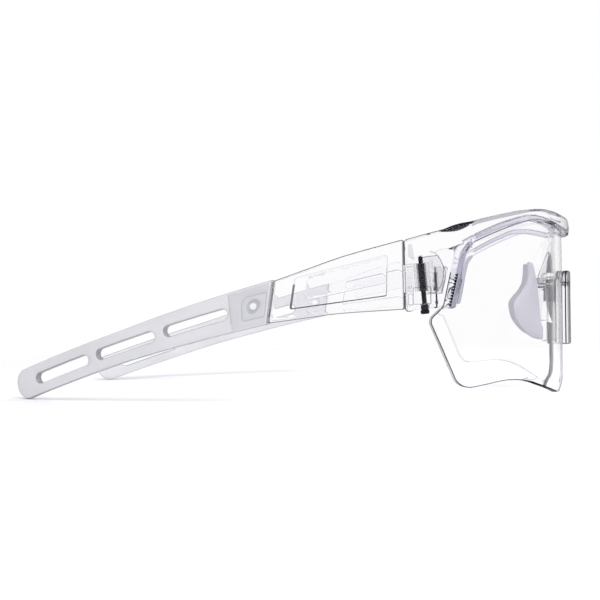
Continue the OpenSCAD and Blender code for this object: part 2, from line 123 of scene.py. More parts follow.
def unfolded(loop, moved):
    """The moved loop, where points that fold back at a tight corner gather at the meeting of its two sides."""
    way, n = np.roll(loop, -1, 0) - loop, len(loop)
    for _ in range(12):
        folded = ((np.roll(moved, -1, 0) - moved) * way).sum(1) < -1e-9
        if not folded.any() or folded.all():
            break
        start = int(np.argmax(~folded))
        i = start
        while i < start + n:
            if not folded[i % n]:
                i += 1
                continue
            last = i
            while folded[last % n]:
                last += 1
            p, u, q, v = moved[(i - 1) % n], way[(i - 1) % n], moved[(last + 1) % n], way[last % n]
            turn = u[0] * v[1] - u[1] * v[0]
            run = [k % n for k in range(i, last + 1)]
            if abs(turn) > 0.05 * np.linalg.norm(u) * np.linalg.norm(v):
                moved[run] = p + u * ((q[0] - p[0]) * v[1] - (q[1] - p[1]) * v[0]) / turn
            else:
                moved[run] = moved[run].mean(0)
            i = last + 1
    return moved


def moved_in(loop, d):
    """The loop moved inwards by d, or outwards where d is below 0."""
    before, after = loop - np.roll(loop, 1, 0), np.roll(loop, -1, 0) - loop
    before /= np.linalg.norm(before, axis=1)[:, None]
    after /= np.linalg.norm(after, axis=1)[:, None]
    n1, n2 = (np.stack([-t[:, 1], t[:, 0]], 1) for t in (before, after))
    n = n1 + n2
    n /= np.maximum(np.linalg.norm(n, axis=1)[:, None], 1e-9)
    return unfolded(loop, loop + n * d / np.maximum((n * n1).sum(1)[:, None], 0.4))


def inside(points, loop):
    """Which points lie within the loop."""
    x, y = points[:, 0][:, None], points[:, 1][:, None]
    ax, ay = loop[:, 0][None], loop[:, 1][None]
    bx, by = np.roll(ax, -1, 1), np.roll(ay, -1, 1)
    crosses = (ay > y) != (by > y)
    at = ax + (y - ay) * (bx - ax) / np.where(by == ay, 1e-9, by - ay)
    return ((crosses & (x < at)).sum(1) % 2) == 1


def distance(points, loop):
    """Distance of each point from the loop."""
    a, b = loop[None], np.roll(loop, -1, 0)[None]
    p = points[:, None]
    ab = b - a
    t = np.clip(((p - a) * ab).sum(2) / np.maximum((ab * ab).sum(2), 1e-12), 0, 1)
    return np.linalg.norm(p - a - ab * t[..., None], axis=2).min(1)


def new_object(name, data):
    """A new object of this data, in the scene."""
    o = bpy.data.objects.new(name, data)
    bpy.context.scene.collection.objects.link(o)
    return o


def plate(name, outline, edge, step, top, bottom, place, holes=(), creases=(), materials=(),
          edge_turn=90, mark=None):
    """A closed plate over a flat outline, with edges rounded to a radius.

    top and bottom give its two faces' heights over points (u, v), and place puts (u, v, height) in the object.
    creases are further loops whose points the faces go through. The narrow edge takes the second material,
    the rounding above it the third, and mark gives the upper faces' own from their middles.
    """
    edge_slot = 1 if len(materials) > 1 else 0
    rounding_slot = 2 if len(materials) > 2 else edge_slot
    loops = [dense(list(outline), step)] + [dense(list(h), step)[::-1] for h in holes]
    turns = [22.5, 45, 67.5, 90]
    rims = []
    for loop in loops:
        rims.append([loop] + [moved_in(loop, edge * (1 - cos(t))) for t in turns])
    inner = [r[-1] for r in rims]
    extra = [dense(list(c), step) for c in creases]
    constraints, flat = [], []
    for loop in inner + extra:
        start = len(flat)
        loop = loop[np.linalg.norm(loop - np.roll(loop, 1, 0), axis=1) > 1e-4]
        flat += [Vector(p) for p in loop]
        constraints += [(start + i, start + (i + 1) % len(loop)) for i in range(len(loop))]
    low, high = loops[0].min(0), loops[0].max(0)
    columns, rows = (np.arange(low[k] + step, high[k], step * (1.0 if k == 0 else 0.87)) for k in (0, 1))
    grid = np.array([(x + (j % 2) * step / 2, y) for j, y in enumerate(rows) for x in columns])
    grid = grid[inside(grid, inner[0])]
    for loop in inner[1:]:
        grid = grid[~inside(grid, loop)]
    for loop in inner + extra:
        grid = grid[distance(grid, loop) > step * 0.6]
    flat += [Vector(p) for p in grid]
    verts, _, faces, *_ = delaunay_2d_cdt(flat, constraints, [], 1, 1e-6)
    verts = np.array([tuple(v) for v in verts])
    middles = np.array([verts[list(f)].mean(0) for f in faces])
    keep = inside(middles, inner[0])
    for loop in inner[1:]:
        keep &= ~inside(middles, loop)
    faces = [f for f, k in zip(faces, keep) if k]
    marks = mark(middles[keep]) if mark else np.zeros(len(faces), int)
    bm = bmesh.new()
    layers = {}
    for side, height in ((1, top), (-1, bottom)):
        h = height(verts)
        vs = [bm.verts.new(place(u, v, w)) for (u, v), w in zip(verts, h)]
        for f, kind in zip(faces, marks):
            face = bm.faces.new([vs[i] for i in (f if side > 0 else f[::-1])])
            face.smooth = True
            face.material_index = int(kind) if side > 0 else 0
        rings = []
        for rim in rims:
            chain = []
            for turn, loop in zip([0] + turns, rim):
                drop = edge * (1 - sin(turn))
                heights = height(rim[-1]) - side * drop
                chain.append([bm.verts.new(place(u, v, w)) for (u, v), w in zip(loop, heights)])
            rings.append(chain)
        layers[side] = rings
        for chain in rings:
            for turn, a, b in zip(turns, chain, chain[1:]):
                n = len(a)
                for i in range(n):
                    j = (i + 1) % n
                    f = bm.faces.new((a[i], a[j], b[j], b[i]) if side > 0 else (b[i], b[j], a[j], a[i]))
                    f.smooth = True
                    f.material_index = 0 if turn > edge_turn else rounding_slot if side > 0 else edge_slot
    for up, down in zip(layers[1], layers[-1]):
        n = len(up[0])
        for i in range(n):
            j = (i + 1) % n
            f = bm.faces.new((down[0][i], down[0][j], up[0][j], up[0][i]))
            f.smooth = True
            f.material_index = edge_slot
    bmesh.ops.remove_doubles(bm, verts=bm.verts, dist=1e-6)
    bm.normal_update()
    if bm.calc_volume(signed=True) < 0:
        bmesh.ops.reverse_faces(bm, faces=bm.faces)
    mesh = bpy.data.meshes.new(name)
    bm.to_mesh(mesh)
    bm.free()
    for m in materials:
        mesh.materials.append(m)
    return new_object(name, mesh)


def depth_at(a):
    return LENS_RADIUS * (1 - cos(a))


def angle_at(depth):
    return math.degrees(math.acos(1 - depth / LENS_RADIUS))


def lens_top(a):
    return smooth(BROW_LINE, a, 1) + LIP


def notch(g):
    """The nose notch's edge from its top middle down its left side, grown by g."""
    w, top = NOTCH_HALF, NOTCH_TOP
    half = [(w * 2.3 + g, -3, 0), (w * 0.98 + g, 3.6, 7), (w * 0.87 + g, top - 7, 20),
            (w * 0.75 + g, top + g, 7 + g)]
    return rounded(half + [(-x, y, r) for x, y, r in reversed(half)])


def ahead(x, depth, z):
    """A point in metres from its x, its depth behind the lens's front and its height."""
    return (x / 1000, (LENS_FRONT + depth) / 1000, z / 1000)


def at_lens(u, v, w):
    """A point on the lens's curve: u along it, v up, w out from its middle."""
    r = LENS_RADIUS - LENS_THICKNESS / 2 + w
    a = u / LENS_RADIUS
    return ahead(r * math.sin(a), LENS_RADIUS - r * math.cos(a), v)


def node(tree, kind, inputs=(), **settings):
    """A new node. inputs gives each input's name or number a value, or the socket that feeds it."""
    new = tree.nodes.new(kind)
    for key, value in settings.items():
        setattr(new, key, value)
    for key, value in dict(inputs).items():
        if isinstance(value, bpy.types.NodeSocket):
            tree.links.new(value, new.inputs[key])
        else:
            new.inputs[key].default_value = value
    return new


def bare_material(name):
    """A new material and its empty node tree."""
    m = bpy.data.materials.new(name)
    m.use_nodes = True
    m.node_tree.nodes.clear()
    return m, m.node_tree


def clear_plastic(name, tint, roughness, ior, rim, start=0.72, full=1.0, shade=(0.16, 0.16, 0.19), behind=1.0):
    """Clear moulded plastic. tint is its own colour.

    Where it is seen along its face, from start to full, a painted shade takes over by the share rim: it draws the
    dark lines along its edges.
    behind is the part of that painted shade left where it is seen through another clear piece.
    """
    m, t = bare_material(name)
    coords = node(t, "ShaderNodeTexCoord")
    cloud = node(t, "ShaderNodeTexNoise", {"Vector": coords.outputs["Object"], "Scale": 90.0})
    spread = node(t, "ShaderNodeMapRange",
                  {"Value": cloud.outputs["Fac"], "To Min": roughness * 0.5, "To Max": roughness * 1.5})
    body = node(t, "ShaderNodeBsdfPrincipled",
                {"Base Color": (*tint, 1), "Transmission Weight": 1.0, "IOR": ior,
                 "Roughness": spread.outputs["Result"]})
    dark = node(t, "ShaderNodeBsdfTransparent", {"Color": (*shade, 1)})
    facing = node(t, "ShaderNodeLayerWeight", {"Blend": 0.5})
    edge = node(t, "ShaderNodeMapRange",
                {"Value": facing.outputs["Facing"], "From Min": start, "From Max": full, "To Max": rim},
                interpolation_type="SMOOTHSTEP")
    path = node(t, "ShaderNodeLightPath")
    first = node(t, "ShaderNodeMapRange", {"Value": path.outputs["Is Camera Ray"], "To Min": behind})
    share = node(t, "ShaderNodeMath", {0: edge.outputs["Result"], 1: first.outputs["Result"]}, operation="MULTIPLY")
    outlined = node(t, "ShaderNodeMixShader", {0: share.outputs[0], 1: body.outputs[0], 2: dark.outputs[0]})
    through = node(t, "ShaderNodeBsdfTransparent", {"Color": (0.92, 0.92, 0.94, 1)})
    mix = node(t, "ShaderNodeMixShader",
               {0: path.outputs["Is Shadow Ray"], 1: outlined.outputs[0], 2: through.outputs[0]})
    node(t, "ShaderNodeOutputMaterial", {"Surface": mix.outputs[0]})
    return m


def flat_face(height):
    """A plate's face of the same height all over."""
    return lambda points: np.full(len(points), height)


# The range in which a clear plastic is painted in its shade from wherever it is seen
EVERY_SIDE = (-0.6, 0.1)
# The lens's face is painted in a light shade along its edges, and its edge materials in darker painted shade for
# its dark edge lines
lens_face = clear_plastic("clear_polycarbonate", (0.99, 0.99, 0.995), 0.01, 1.2, 0.35)
lens_rim = clear_plastic("ground_lens_edge", (0.90, 0.90, 0.93), 0.05, 1.02, 0.65, 0.3, 0.9,
                         (0.12, 0.12, 0.15), 0.3)
lens_line = clear_plastic("lens_edge_line", (0.85, 0.85, 0.90), 0.15, 1.02, 0.97, *EVERY_SIDE,
                          (0.08, 0.08, 0.10), 0.09)
notch_edge = clear_plastic("matt_notch_edge", (0.34, 0.32, 0.41), 0.3, 1.3, 0.5)
held_edge = clear_plastic("lens_edge_in_claw", (0.6, 0.6, 0.65), 0.2, 1.02, 0.9, *EVERY_SIDE, (0.05, 0.05, 0.07))

# The lower and side edges in side view, as depth and height
lens_side = rounded([(-1, lens_top(0), 0), (-1, 0, 0), (depth_at(LENS_FOOT), 0, 0), (depth_at(41), 6.7, 40),
                     (depth_at(61.5), 3.9, 5), (depth_at(69.6), 24.4, 2.4), (depth_at(66), 27.8, 4),
                     (depth_at(62), lens_top(62), 3)])[2:]
# The notch, laid flat and led down to the lower edge
cut = [(math.asin(x / (LENS_RADIUS - LENS_THICKNESS / 2)) * LENS_RADIUS, z)
       for x, z in notch(0) if 0 <= z and x > 0]
foot = cut[0]
cut = [(foot[0] + (cut[0][0] - cut[1][0]) / (cut[0][1] - cut[1][1]) * (0 - foot[1]), 0.0)] + cut
right_half = [(0.0, NOTCH_TOP)] + cut[::-1]
right_half += [(math.radians(angle_at(d)) * LENS_RADIUS, z) for d, z in lens_side if d > 0]
right_half += [(math.radians(a) * LENS_RADIUS, lens_top(a)) for a in range(60, 1, -2)] + [(0.0, lens_top(0))]
outline = right_half + [(-u, v) for u, v in reversed(right_half[1:-1])]
lens = plate("shield_lens_sheet", outline, 0.3, 1.6, flat_face(1.0), flat_face(-1.0),
             at_lens, materials=(lens_face, lens_rim, lens_line, notch_edge, held_edge))
# The notch's edge is matt and painted in a violet-grey shade, and in each claw the held edge is painted in dark
# shade
for f in lens.data.polygons:
    x, _, z = f.center * 1000
    if f.material_index and z < NOTCH_TOP + 1 and abs(x) < NOTCH_HALF + 1.5 + max(0, 4 - z) * 1.8:
        f.material_index = 3
    if f.material_index == 2 and 27.6 < z < 38 and abs(x) > 50:
        f.material_index = 4
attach(lens, "front")
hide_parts("shield_lens")


# Ear socks
# Frosted soft rubber moulded over the rear of each arm, with three slots that let it flex and breathe.
# Each is pushed over the arm's tongue and held by a small round pin, which shows in a ring.
HINGE = np.array([59.3669, -44.6156, 37.1])
TOE_IN = 4.0
ARM_LENGTH = 44.4
ARM_MIDDLE = 1.1
SOCK_GAP = 0.4
SOCK_THICKNESS, TIP_THICKNESS = 3.6, 2.8
SOCK_HEIGHT, TIP_HEIGHT = 12.4, 9.8
WRAP_RADIUS = 258.0
SOCK_EDGE = 0.55
SLOT_LENGTH, SLOT_WIDTH = 20.8, 3.4
SLOT_PLACES = [23.4 + i * 24.0 for i in range(3)]
TIP_RADIUS = TIP_HEIGHT / 2
JOINT_Z = 30.25
JOINT_SLANT = 1.05
SOCK_RUN = 135.5 - ARM_LENGTH * cos(TOE_IN) - SOCK_GAP
SOCK_ROUND = SOCK_RUN - TIP_RADIUS
SOCK_X = ARM_MIDDLE * cos(TOE_IN) - (ARM_LENGTH + SOCK_GAP) * sin(TOE_IN)
SOCK_DROOP = 0.00075
PIN_BACK, PIN_HOLE, RING_RADIUS = 4.86, 1.05, 2.1
MOULD_LINE = 12.1
SOCK_FALL = (JOINT_Z - TIP_RADIUS - SOCK_DROOP * SOCK_ROUND ** 2) / SOCK_ROUND


def sock_half(s):
    return SOCK_HEIGHT / 2 + (TIP_RADIUS - SOCK_HEIGHT / 2) * min(1, s / (SOCK_ROUND * 0.56))


def sock_axes(s):
    """Middle, way along, way out and way up of the sock at s behind its front end."""
    toe = math.tan(math.radians(TOE_IN))
    middle = np.array([SOCK_X - s * toe - s * s / (2 * WRAP_RADIUS), ARM_LENGTH * cos(TOE_IN) + SOCK_GAP + s,
                       JOINT_Z - SOCK_FALL * s - SOCK_DROOP * s * s])
    along = np.array([-toe - s / WRAP_RADIUS, 1, -SOCK_FALL - 2 * SOCK_DROOP * s])
    along /= np.linalg.norm(along)
    out = np.array([1, toe + s / WRAP_RADIUS, 0])
    out /= np.linalg.norm(out)
    return middle, along, out, np.cross(out, along)


def at_sock(u, v, w, side=1):
    """A point of the sock: u back along it, v up, w out from its middle."""
    s = min(u, SOCK_ROUND)
    middle, along, out, up = sock_axes(s)
    lean = max(0, 1 - u / 20) * (JOINT_SLANT / (SOCK_HEIGHT / 2) + SOCK_FALL)
    p = middle + along * (u - s - v * lean) + out * w + up * v
    return (side * (HINGE[0] + p[0]) / 1000, (HINGE[1] + p[1]) / 1000, p[2] / 1000)


def sock_face(points):
    """Half thickness of the sock: less towards the tip, with the pin's ring and the mould's line sunk in."""
    u, v = points[:, 0], points[:, 1]
    tip = np.clip((u - SOCK_ROUND) / TIP_RADIUS, 0, 1)
    h = (SOCK_THICKNESS + (TIP_THICKNESS - SOCK_THICKNESS) * np.clip(u / SOCK_ROUND, 0, 1)) / 2
    h = h * (1 - 0.45 * (1 - np.sqrt(np.clip(1 - tip ** 2, 0, 1))))
    h = h - 0.15 * np.clip(np.abs(v) / 6.2, 0, 1) ** 2
    h = h - 0.2 * np.clip((RING_RADIUS - np.hypot(u - PIN_BACK, v)) / 0.2, 0, 1)
    return h - 0.1 * (np.abs(u - MOULD_LINE) < 0.05) - 0.1 * (distance(points, pin_box) < 0.05)


def sock_marks(q):
    """3 in the ring round the pin, 4 on the mould's lines, 5 on the root in front of them, else 0."""
    ring = np.hypot(q[:, 0] - PIN_BACK, q[:, 1]) < RING_RADIUS
    lines = (distance(q, pin_box) < LINE) | (np.abs(q[:, 0] - MOULD_LINE) < LINE) & (q[:, 1] > -3.4)
    return np.where(ring, 3, np.where(lines, 4, np.where(q[:, 0] < MOULD_LINE, 5, 0)))


def circle(x, y, r, n=28):
    return [(x + r * math.cos(2 * math.pi * i / n), y + r * math.sin(2 * math.pi * i / n)) for i in range(n)]


def capsule(x, half_length, radius):
    """A slot's outline with round ends."""
    ends = [(x + half_length * e + radius * math.cos(t) * e, radius * math.sin(t) * e)
            for e in (1, -1) for t in np.linspace(-math.pi / 2, math.pi / 2, 17)]
    return ends


def frosted(name, colour, deep, clear, bump):
    """Frosted soft rubber: a grey body that lets some light through, with a fine matt grain."""
    m, t = bare_material(name)
    place = node(t, "ShaderNodeTexCoord").outputs["Object"]
    haze = node(t, "ShaderNodeTexNoise", {"Vector": place, "Scale": 60.0, "Detail": 3.0})
    shade = node(t, "ShaderNodeValToRGB", {"Fac": haze.outputs["Fac"]})
    for stop, position, tone in zip(shade.color_ramp.elements, (0.3, 0.7), (deep, colour)):
        stop.position, stop.color = position, (*tone, 1)
    grain = node(t, "ShaderNodeTexNoise", {"Vector": place, "Scale": 4000.0})
    dents = node(t, "ShaderNodeBump", {"Height": grain.outputs["Fac"], "Strength": bump, "Distance": 0.00005})
    body = node(t, "ShaderNodeBsdfPrincipled", {
        "Base Color": shade.outputs["Color"], "Roughness": 0.42, "IOR": 1.45, "Transmission Weight": clear,
        "Sheen Weight": 0.1, "Normal": dents.outputs["Normal"]})
    node(t, "ShaderNodeOutputMaterial", {"Surface": body.outputs[0]})
    return m


# The sock's narrow sides and roundings take a darker rubber: painted shade along its outline
sock_rubber = frosted("frosted_sock_rubber", (0.87, 0.87, 0.89), (0.80, 0.80, 0.82), 0.3, 0.3)
sock_side_shade = frosted("frosted_sock_side", (0.42, 0.42, 0.45), (0.34, 0.34, 0.37), 0.1, 0.2)
sock_ring = frosted("frosted_sock_ring", (0.59, 0.59, 0.62), (0.53, 0.53, 0.56), 0.2, 0.2)
sock_root = frosted("frosted_sock_root", (0.79, 0.79, 0.81), (0.70, 0.70, 0.73), 0.3, 0.3)
sock_line = frosted("frosted_sock_line", (0.60, 0.60, 0.63), (0.54, 0.54, 0.57), 0.2, 0.2)
LINE = 0.13
pin_box = dense(rounded([(1.0, 3.1, 0.4), (8.4, 3.1, 1.8), (8.4, -3.6, 1.2), (1.0, -3.6, 0.4)]), 0.6)
sides = [i * 3.0 for i in range(int(SOCK_ROUND / 3) + 1)]
tip = [(SOCK_ROUND + TIP_RADIUS * math.cos(t), TIP_RADIUS * math.sin(t))
       for t in np.linspace(-math.pi / 2, math.pi / 2, 33)]
sock_outline = [(s, -sock_half(s)) for s in sides] + tip + [(s, sock_half(s)) for s in reversed(sides)]
for name, sign in (("left", 1), ("right", -1)):
    sock = plate("ear_sock_skin_" + name, sock_outline, SOCK_EDGE, 0.8, sock_face, lambda p: -sock_face(p),
                 lambda u, v, w: at_sock(u, v, w, sign),
                 holes=[capsule(x, (SLOT_LENGTH - SLOT_WIDTH) / 2, SLOT_WIDTH / 2) for x in SLOT_PLACES],
                 creases=[circle(PIN_BACK, 0, r) for r in (PIN_HOLE, RING_RADIUS - 0.2, RING_RADIUS)]
                 + [moved_in(pin_box, d) for d in (-LINE, 0, LINE)]
                 + [[(x, -5.0), (x + LINE, -5.0), (x + LINE, 5.0), (x, 5.0)]
                    for x in (MOULD_LINE - LINE, MOULD_LINE)],
                 materials=(sock_rubber, sock_side_shade, sock_side_shade, sock_ring, sock_line, sock_root),
                 edge_turn=50, mark=sock_marks)
    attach(sock, "temple_" + name)
    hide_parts("ear_sock_" + name)


# Nose pads
# Two soft silicone petals pushed over the carrier's blades.
# They swell in the middle, thin out to a soft edge and open towards the face.
PAD_MIDDLE = np.array([11.0, LENS_FRONT + 7.3, 29.0])
PAD_TILT, PAD_SPLAY = 13.0, 24.0
PAD_THICKNESS = 2.2
PAD_FRONT, PAD_REAR, PAD_HIGH, PAD_LOW = 4.0, 11.0, 13.4, 13.1
CARRIER_INNER = LENS_RADIUS - LENS_THICKNESS - 0.03 - 3.2


def at_pad(u, v, w, side=1):
    """A point of the pad: u back, v up, w out to the wearer's side, about the pad's middle."""
    x, y, z = w * cos(PAD_TILT) - v * sin(PAD_TILT), u, w * sin(PAD_TILT) + v * cos(PAD_TILT)
    x, y = x * cos(PAD_SPLAY) + y * sin(PAD_SPLAY), -x * sin(PAD_SPLAY) + y * cos(PAD_SPLAY)
    return (side * (PAD_MIDDLE[0] + x) / 1000, (PAD_MIDDLE[1] + y) / 1000, (PAD_MIDDLE[2] + z) / 1000)


def pad_reach(v):
    """How far forward the pad may reach at v, so that it clears the carrier."""
    for u in np.arange(-PAD_FRONT, 6, 0.05):
        x, y, _ = at_pad(u, v, 1.1)
        if math.hypot(x * 1000, y * 1000 - LENS_FRONT - LENS_RADIUS) < CARRIER_INNER - 0.1:
            return u
    return 6


pad_line = rounded([(1.8, -PAD_LOW * 0.6, 2), (1.1, PAD_HIGH * 0.4, 4), (1.7, PAD_HIGH * 0.93, 1),
                    (3.6, PAD_HIGH, 0.9), (PAD_REAR * 0.43, PAD_HIGH * 0.39, 9),
                    (PAD_REAR, -PAD_LOW * 0.03, 3.2), (PAD_REAR * 0.95, -PAD_LOW * 0.51, 7),
                    (PAD_REAR * 0.51, -PAD_LOW, 6),
                    (-0.4, -PAD_LOW * 0.99, 1.4), (-0.2, -PAD_LOW * 0.82, 1)])
pad_loop = dense([(max(u, pad_reach(v)), v) for u, v in dense(pad_line, 0.6)], 0.6)
for _ in range(12):
    pad_loop = (np.roll(pad_loop, 1, 0) + pad_loop * 2 + np.roll(pad_loop, -1, 0)) / 4
pad_line = [pad_loop[0]]
for q in pad_loop[1:]:
    if np.linalg.norm(q - pad_line[-1]) > 0.3:
        pad_line.append(q)
pad_loop = np.array(pad_line)


def pad_face(points):
    d = np.minimum(distance(points, pad_loop) / 4.0, 1)
    return PAD_THICKNESS / 2 * (0.48 + 0.52 * (1 - (1 - d) ** 2))


pad_silicone = frosted("soft_pad_silicone", (0.53, 0.52, 0.57), (0.46, 0.45, 0.50), 0.15, 0.2)
for name, sign in (("left", 1), ("right", -1)):
    pad = plate("nose_pad_skin_" + name, pad_line, 0.45, 0.6, pad_face, lambda p: -pad_face(p),
                lambda u, v, w: at_pad(u, v, w, sign), materials=(pad_silicone,))
    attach(pad, "front")
    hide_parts("nose_pad_" + name)


# Front frame
# One clear nylon moulding: a brow bar with a groove for the lens, and at each end a claw and a hinge block.
# The block is hollow behind for the arm's barrel, and bored from below for the screw.
FRONT_WALL, REAR_WALL, LENS_PLAY = 2.4, 1.3, 0.1
GROOVE_OUTER = LENS_RADIUS + LENS_PLAY
GROOVE_INNER = LENS_RADIUS - LENS_THICKNESS - LENS_PLAY
FRAME_OUTER = GROOVE_OUTER + FRONT_WALL
FRAME_INNER = GROOVE_INNER - REAR_WALL
EDGE_ANGLE, BROW_REACH = 66.0, 62.0
HINGE_DEPTH = HINGE[1] - LENS_FRONT
BLOCK_BOTTOM, BLOCK_HEIGHT = 27.5, 19.8
SHOULDER, EAR_GAP = 4.9, 0.2
BLOCK_REAR = HINGE_DEPTH + SHOULDER - EAR_GAP
BLOCK_INNER, BLOCK_OUTER = HINGE[0] - 2.8, HINGE[0] + 3.6
BARREL_LOW, BARREL_HIGH, BARREL_RADIUS, SWING = -4.4, 3.4, 2.2, 0.25
SCREW_RADIUS, SCREW_PLAY, HEAD_RADIUS, SLEEVE_WALL = 0.75, 0.05, 1.25, 0.5
SCREW_TOP, EAR_LOW, COUNTERBORE = 5.6, -9.4, 1.4
HINGE_LEAN = 4.0
SHARP_ANGLE = 32
CORNER_POINTS, BROW_STEPS = 7, 36
WALL_STEPS, WALL_BLEND = 160, 14
CLAW_REAR, CLAW_TOP, LIP_WIDTH = 35.2, 46.5, 1.7


def around(a, r):
    """A point at an angle round the lens and a radius, as x and depth."""
    return (r * sin(a), LENS_RADIUS - r * cos(a))


def finished(name, bm, materials):
    """The mesh as an object, facing outwards and smooth but for its sharp edges."""
    if bm.calc_volume(signed=True) < 0:
        bmesh.ops.reverse_faces(bm, faces=bm.faces)
    bmesh.ops.remove_doubles(bm, verts=bm.verts, dist=1e-7)
    for f in bm.faces:
        f.smooth = True
    mesh = bpy.data.meshes.new(name)
    bm.to_mesh(mesh)
    bm.free()
    mesh.set_sharp_from_angle(angle=math.radians(SHARP_ANGLE))
    for m in materials:
        mesh.materials.append(m)
    return new_object(name, mesh)


def carved(piece, *steps):
    """The piece after adding or cutting each (operation, tool) in turn. The tools go."""
    for operation, tool in steps:
        m = piece.modifiers.new("carve", "BOOLEAN")
        m.operation, m.solver, m.object, m.material_mode = operation, "EXACT", tool, "TRANSFER"
    graph = bpy.context.evaluated_depsgraph_get()
    graph.update()
    bm, mesh = bmesh.new(), bpy.data.meshes.new_from_object(piece.evaluated_get(graph))
    bm.from_mesh(mesh)
    name, materials = piece.name, list(mesh.materials)
    for o in [piece] + [tool for _, tool in steps]:
        bpy.data.objects.remove(o)
    return finished(name, bm, materials)


def ring_at(bm, r, z, place, turns):
    """New points in a ring about the axis of place(x, y, z)."""
    return [bm.verts.new(place(r * cos(360 * i / turns), r * sin(360 * i / turns), z)) for i in range(turns)]


def round_bar(name, r, low, high, place, turns=40, materials=()):
    """A round bar from low to high along the axis of place(x, y, z)."""
    bm = bmesh.new()
    rings = [ring_at(bm, r, z, place, turns) for z in (low, high)]
    for i in range(turns):
        j = (i + 1) % turns
        bm.faces.new((rings[0][i], rings[0][j], rings[1][j], rings[1][i]))
    bm.faces.new(rings[0][::-1])
    bm.faces.new(rings[1])
    return finished(name, bm, materials)


def brick(name, low, high, place, materials=()):
    """A block from one corner to the other, as place(x, y, z) puts it."""
    bm = bmesh.new()
    bmesh.ops.create_cube(bm, size=1)
    for v in bm.verts:
        v.co = place(*(low[k] + (v.co[k] + 0.5) * (high[k] - low[k]) for k in range(3)))
    return finished(name, bm, materials)


def at_hinge(x, y, z, side=1):
    """A point from its place about the leaning hinge axis."""
    return (side * (HINGE[0] + x) / 1000, (HINGE[1] + y * cos(HINGE_LEAN) + z * sin(HINGE_LEAN)) / 1000,
            (HINGE[2] - y * sin(HINGE_LEAN) + z * cos(HINGE_LEAN)) / 1000)


def brow_section(a):
    """The brow bar's outline at an angle round the lens, as radius and height, with its groove."""
    low, high = smooth(BROW_LINE, abs(a), 1), smooth(BROW_LINE, abs(a), 2)
    # The bar's own groove is a touch wider than the lens's room, which is cut last
    top, groove_inner, groove_outer = low + LIP + LENS_PLAY + 0.06, GROOVE_INNER - 0.06, GROOVE_OUTER + 0.06
    # The last few degrees thin out inside the block
    into = max(0, abs(a) - BROW_REACH + 4.5)
    outer, inner, high = FRAME_OUTER - into * 0.12, FRAME_INNER + into * 0.08, high - into * 0.35
    corners = [(outer - 0.25, low, 0.55), (outer, (low + high) / 2, 6), (outer - 0.35, high, 1.1),
               (inner, high, 0.8), (inner, low, 0.4), (groove_inner, low, 0.15), (groove_inner, top, 0.2),
               (groove_outer, top, 0.2), (groove_outer, low, 0.15)]
    points = []
    for i, (x, y, r) in enumerate(corners):
        p, q, t = (np.array(corners[(i + k - 1) % len(corners)][:2]) for k in range(3))
        u, v = (p - q) / np.linalg.norm(p - q), (t - q) / np.linalg.norm(t - q)
        half = math.acos(max(-1, min(1, u @ v))) / 2
        reach = min(r / math.tan(half), np.linalg.norm(p - q) * 0.45, np.linalg.norm(t - q) * 0.45)
        for f in np.linspace(0, 1, CORNER_POINTS):
            points.append(q + u * reach * (1 - f) ** 2 + v * reach * f ** 2)
    return points


def span(loop, d):
    """Inner and outer x of a plan outline at each depth."""
    out = []
    for y in np.atleast_1d(d):
        xs = []
        for p, q in zip(loop, np.roll(loop, -1, 0)):
            if (p[1] > y) != (q[1] > y):
                xs.append(p[0] + (y - p[1]) * (q[0] - p[0]) / (q[1] - p[1]))
        out.append((min(xs), max(xs)) if xs else (np.nan, np.nan))
    return np.array(out)


# The frame's clear nylons each paint shade along their edges. The outlines, the back and underside, the claw's lip
# band, the block's lines and patches and the hollow's walls are painted in dark or violet-grey shade from every
# side
nylon = clear_plastic("clear_nylon", (0.98, 0.98, 0.99), 0.02, 1.3, 0.8, 0.6, 1.0, (0.13, 0.12, 0.16), 0.3)
nylon_edge = clear_plastic("clear_nylon_edge", (0.95, 0.95, 0.97), 0.03, 1.25, 0.95, 0.1, 0.65,
                           (0.05, 0.05, 0.07), 0.3)
nylon_line = clear_plastic("clear_nylon_outline", (0.95, 0.95, 0.97), 0.05, 1.02, 0.66, *EVERY_SIDE,
                           (0.10, 0.10, 0.13), 0.15)
nylon_back = clear_plastic("clear_nylon_back", (0.93, 0.92, 0.97), 0.05, 1.02, 0.62, *EVERY_SIDE,
                           (0.34, 0.32, 0.45), 0.85)
brow_line = clear_plastic("clear_brow_outline", (0.95, 0.95, 0.97), 0.05, 1.02, 0.55, *EVERY_SIDE,
                          (0.22, 0.20, 0.28), 0.2)
brow_nylon = clear_plastic("clear_brow_nylon", (0.97, 0.97, 0.99), 0.02, 1.12, 0.45, 0.6, 1.0,
                           (0.25, 0.23, 0.32), 0.3)
block_nylon = clear_plastic("clear_block_nylon", (0.98, 0.98, 0.99), 0.02, 1.15, 0.6, 0.6, 1.0,
                            (0.13, 0.12, 0.16), 0.3)
brow_under = clear_plastic("clear_brow_underside", (0.93, 0.92, 0.97), 0.05, 1.02, 0.45, *EVERY_SIDE,
                           (0.38, 0.36, 0.48), 0.7)
painted_line_shade = clear_plastic("block_step_line", (0.8, 0.8, 0.84), 0.1, 1.02, 0.6, *EVERY_SIDE, (0.08, 0.08, 0.11), 0.3)
lip = clear_plastic("claw_lip", (0.92, 0.91, 0.96), 0.1, 1.02, 0.40, *EVERY_SIDE, (0.27, 0.26, 0.38), 0.8)
facet_shade = clear_plastic("block_facet", (0.9, 0.9, 0.93), 0.1, 1.05, 0.24, *EVERY_SIDE, (0.25, 0.25, 0.30), 1.0)
hollow_wall = clear_plastic("hollow_wall", (0.97, 0.97, 0.98), 0.1, 1.1, 0.12, *EVERY_SIDE, (0.42, 0.42, 0.46), 1.0)
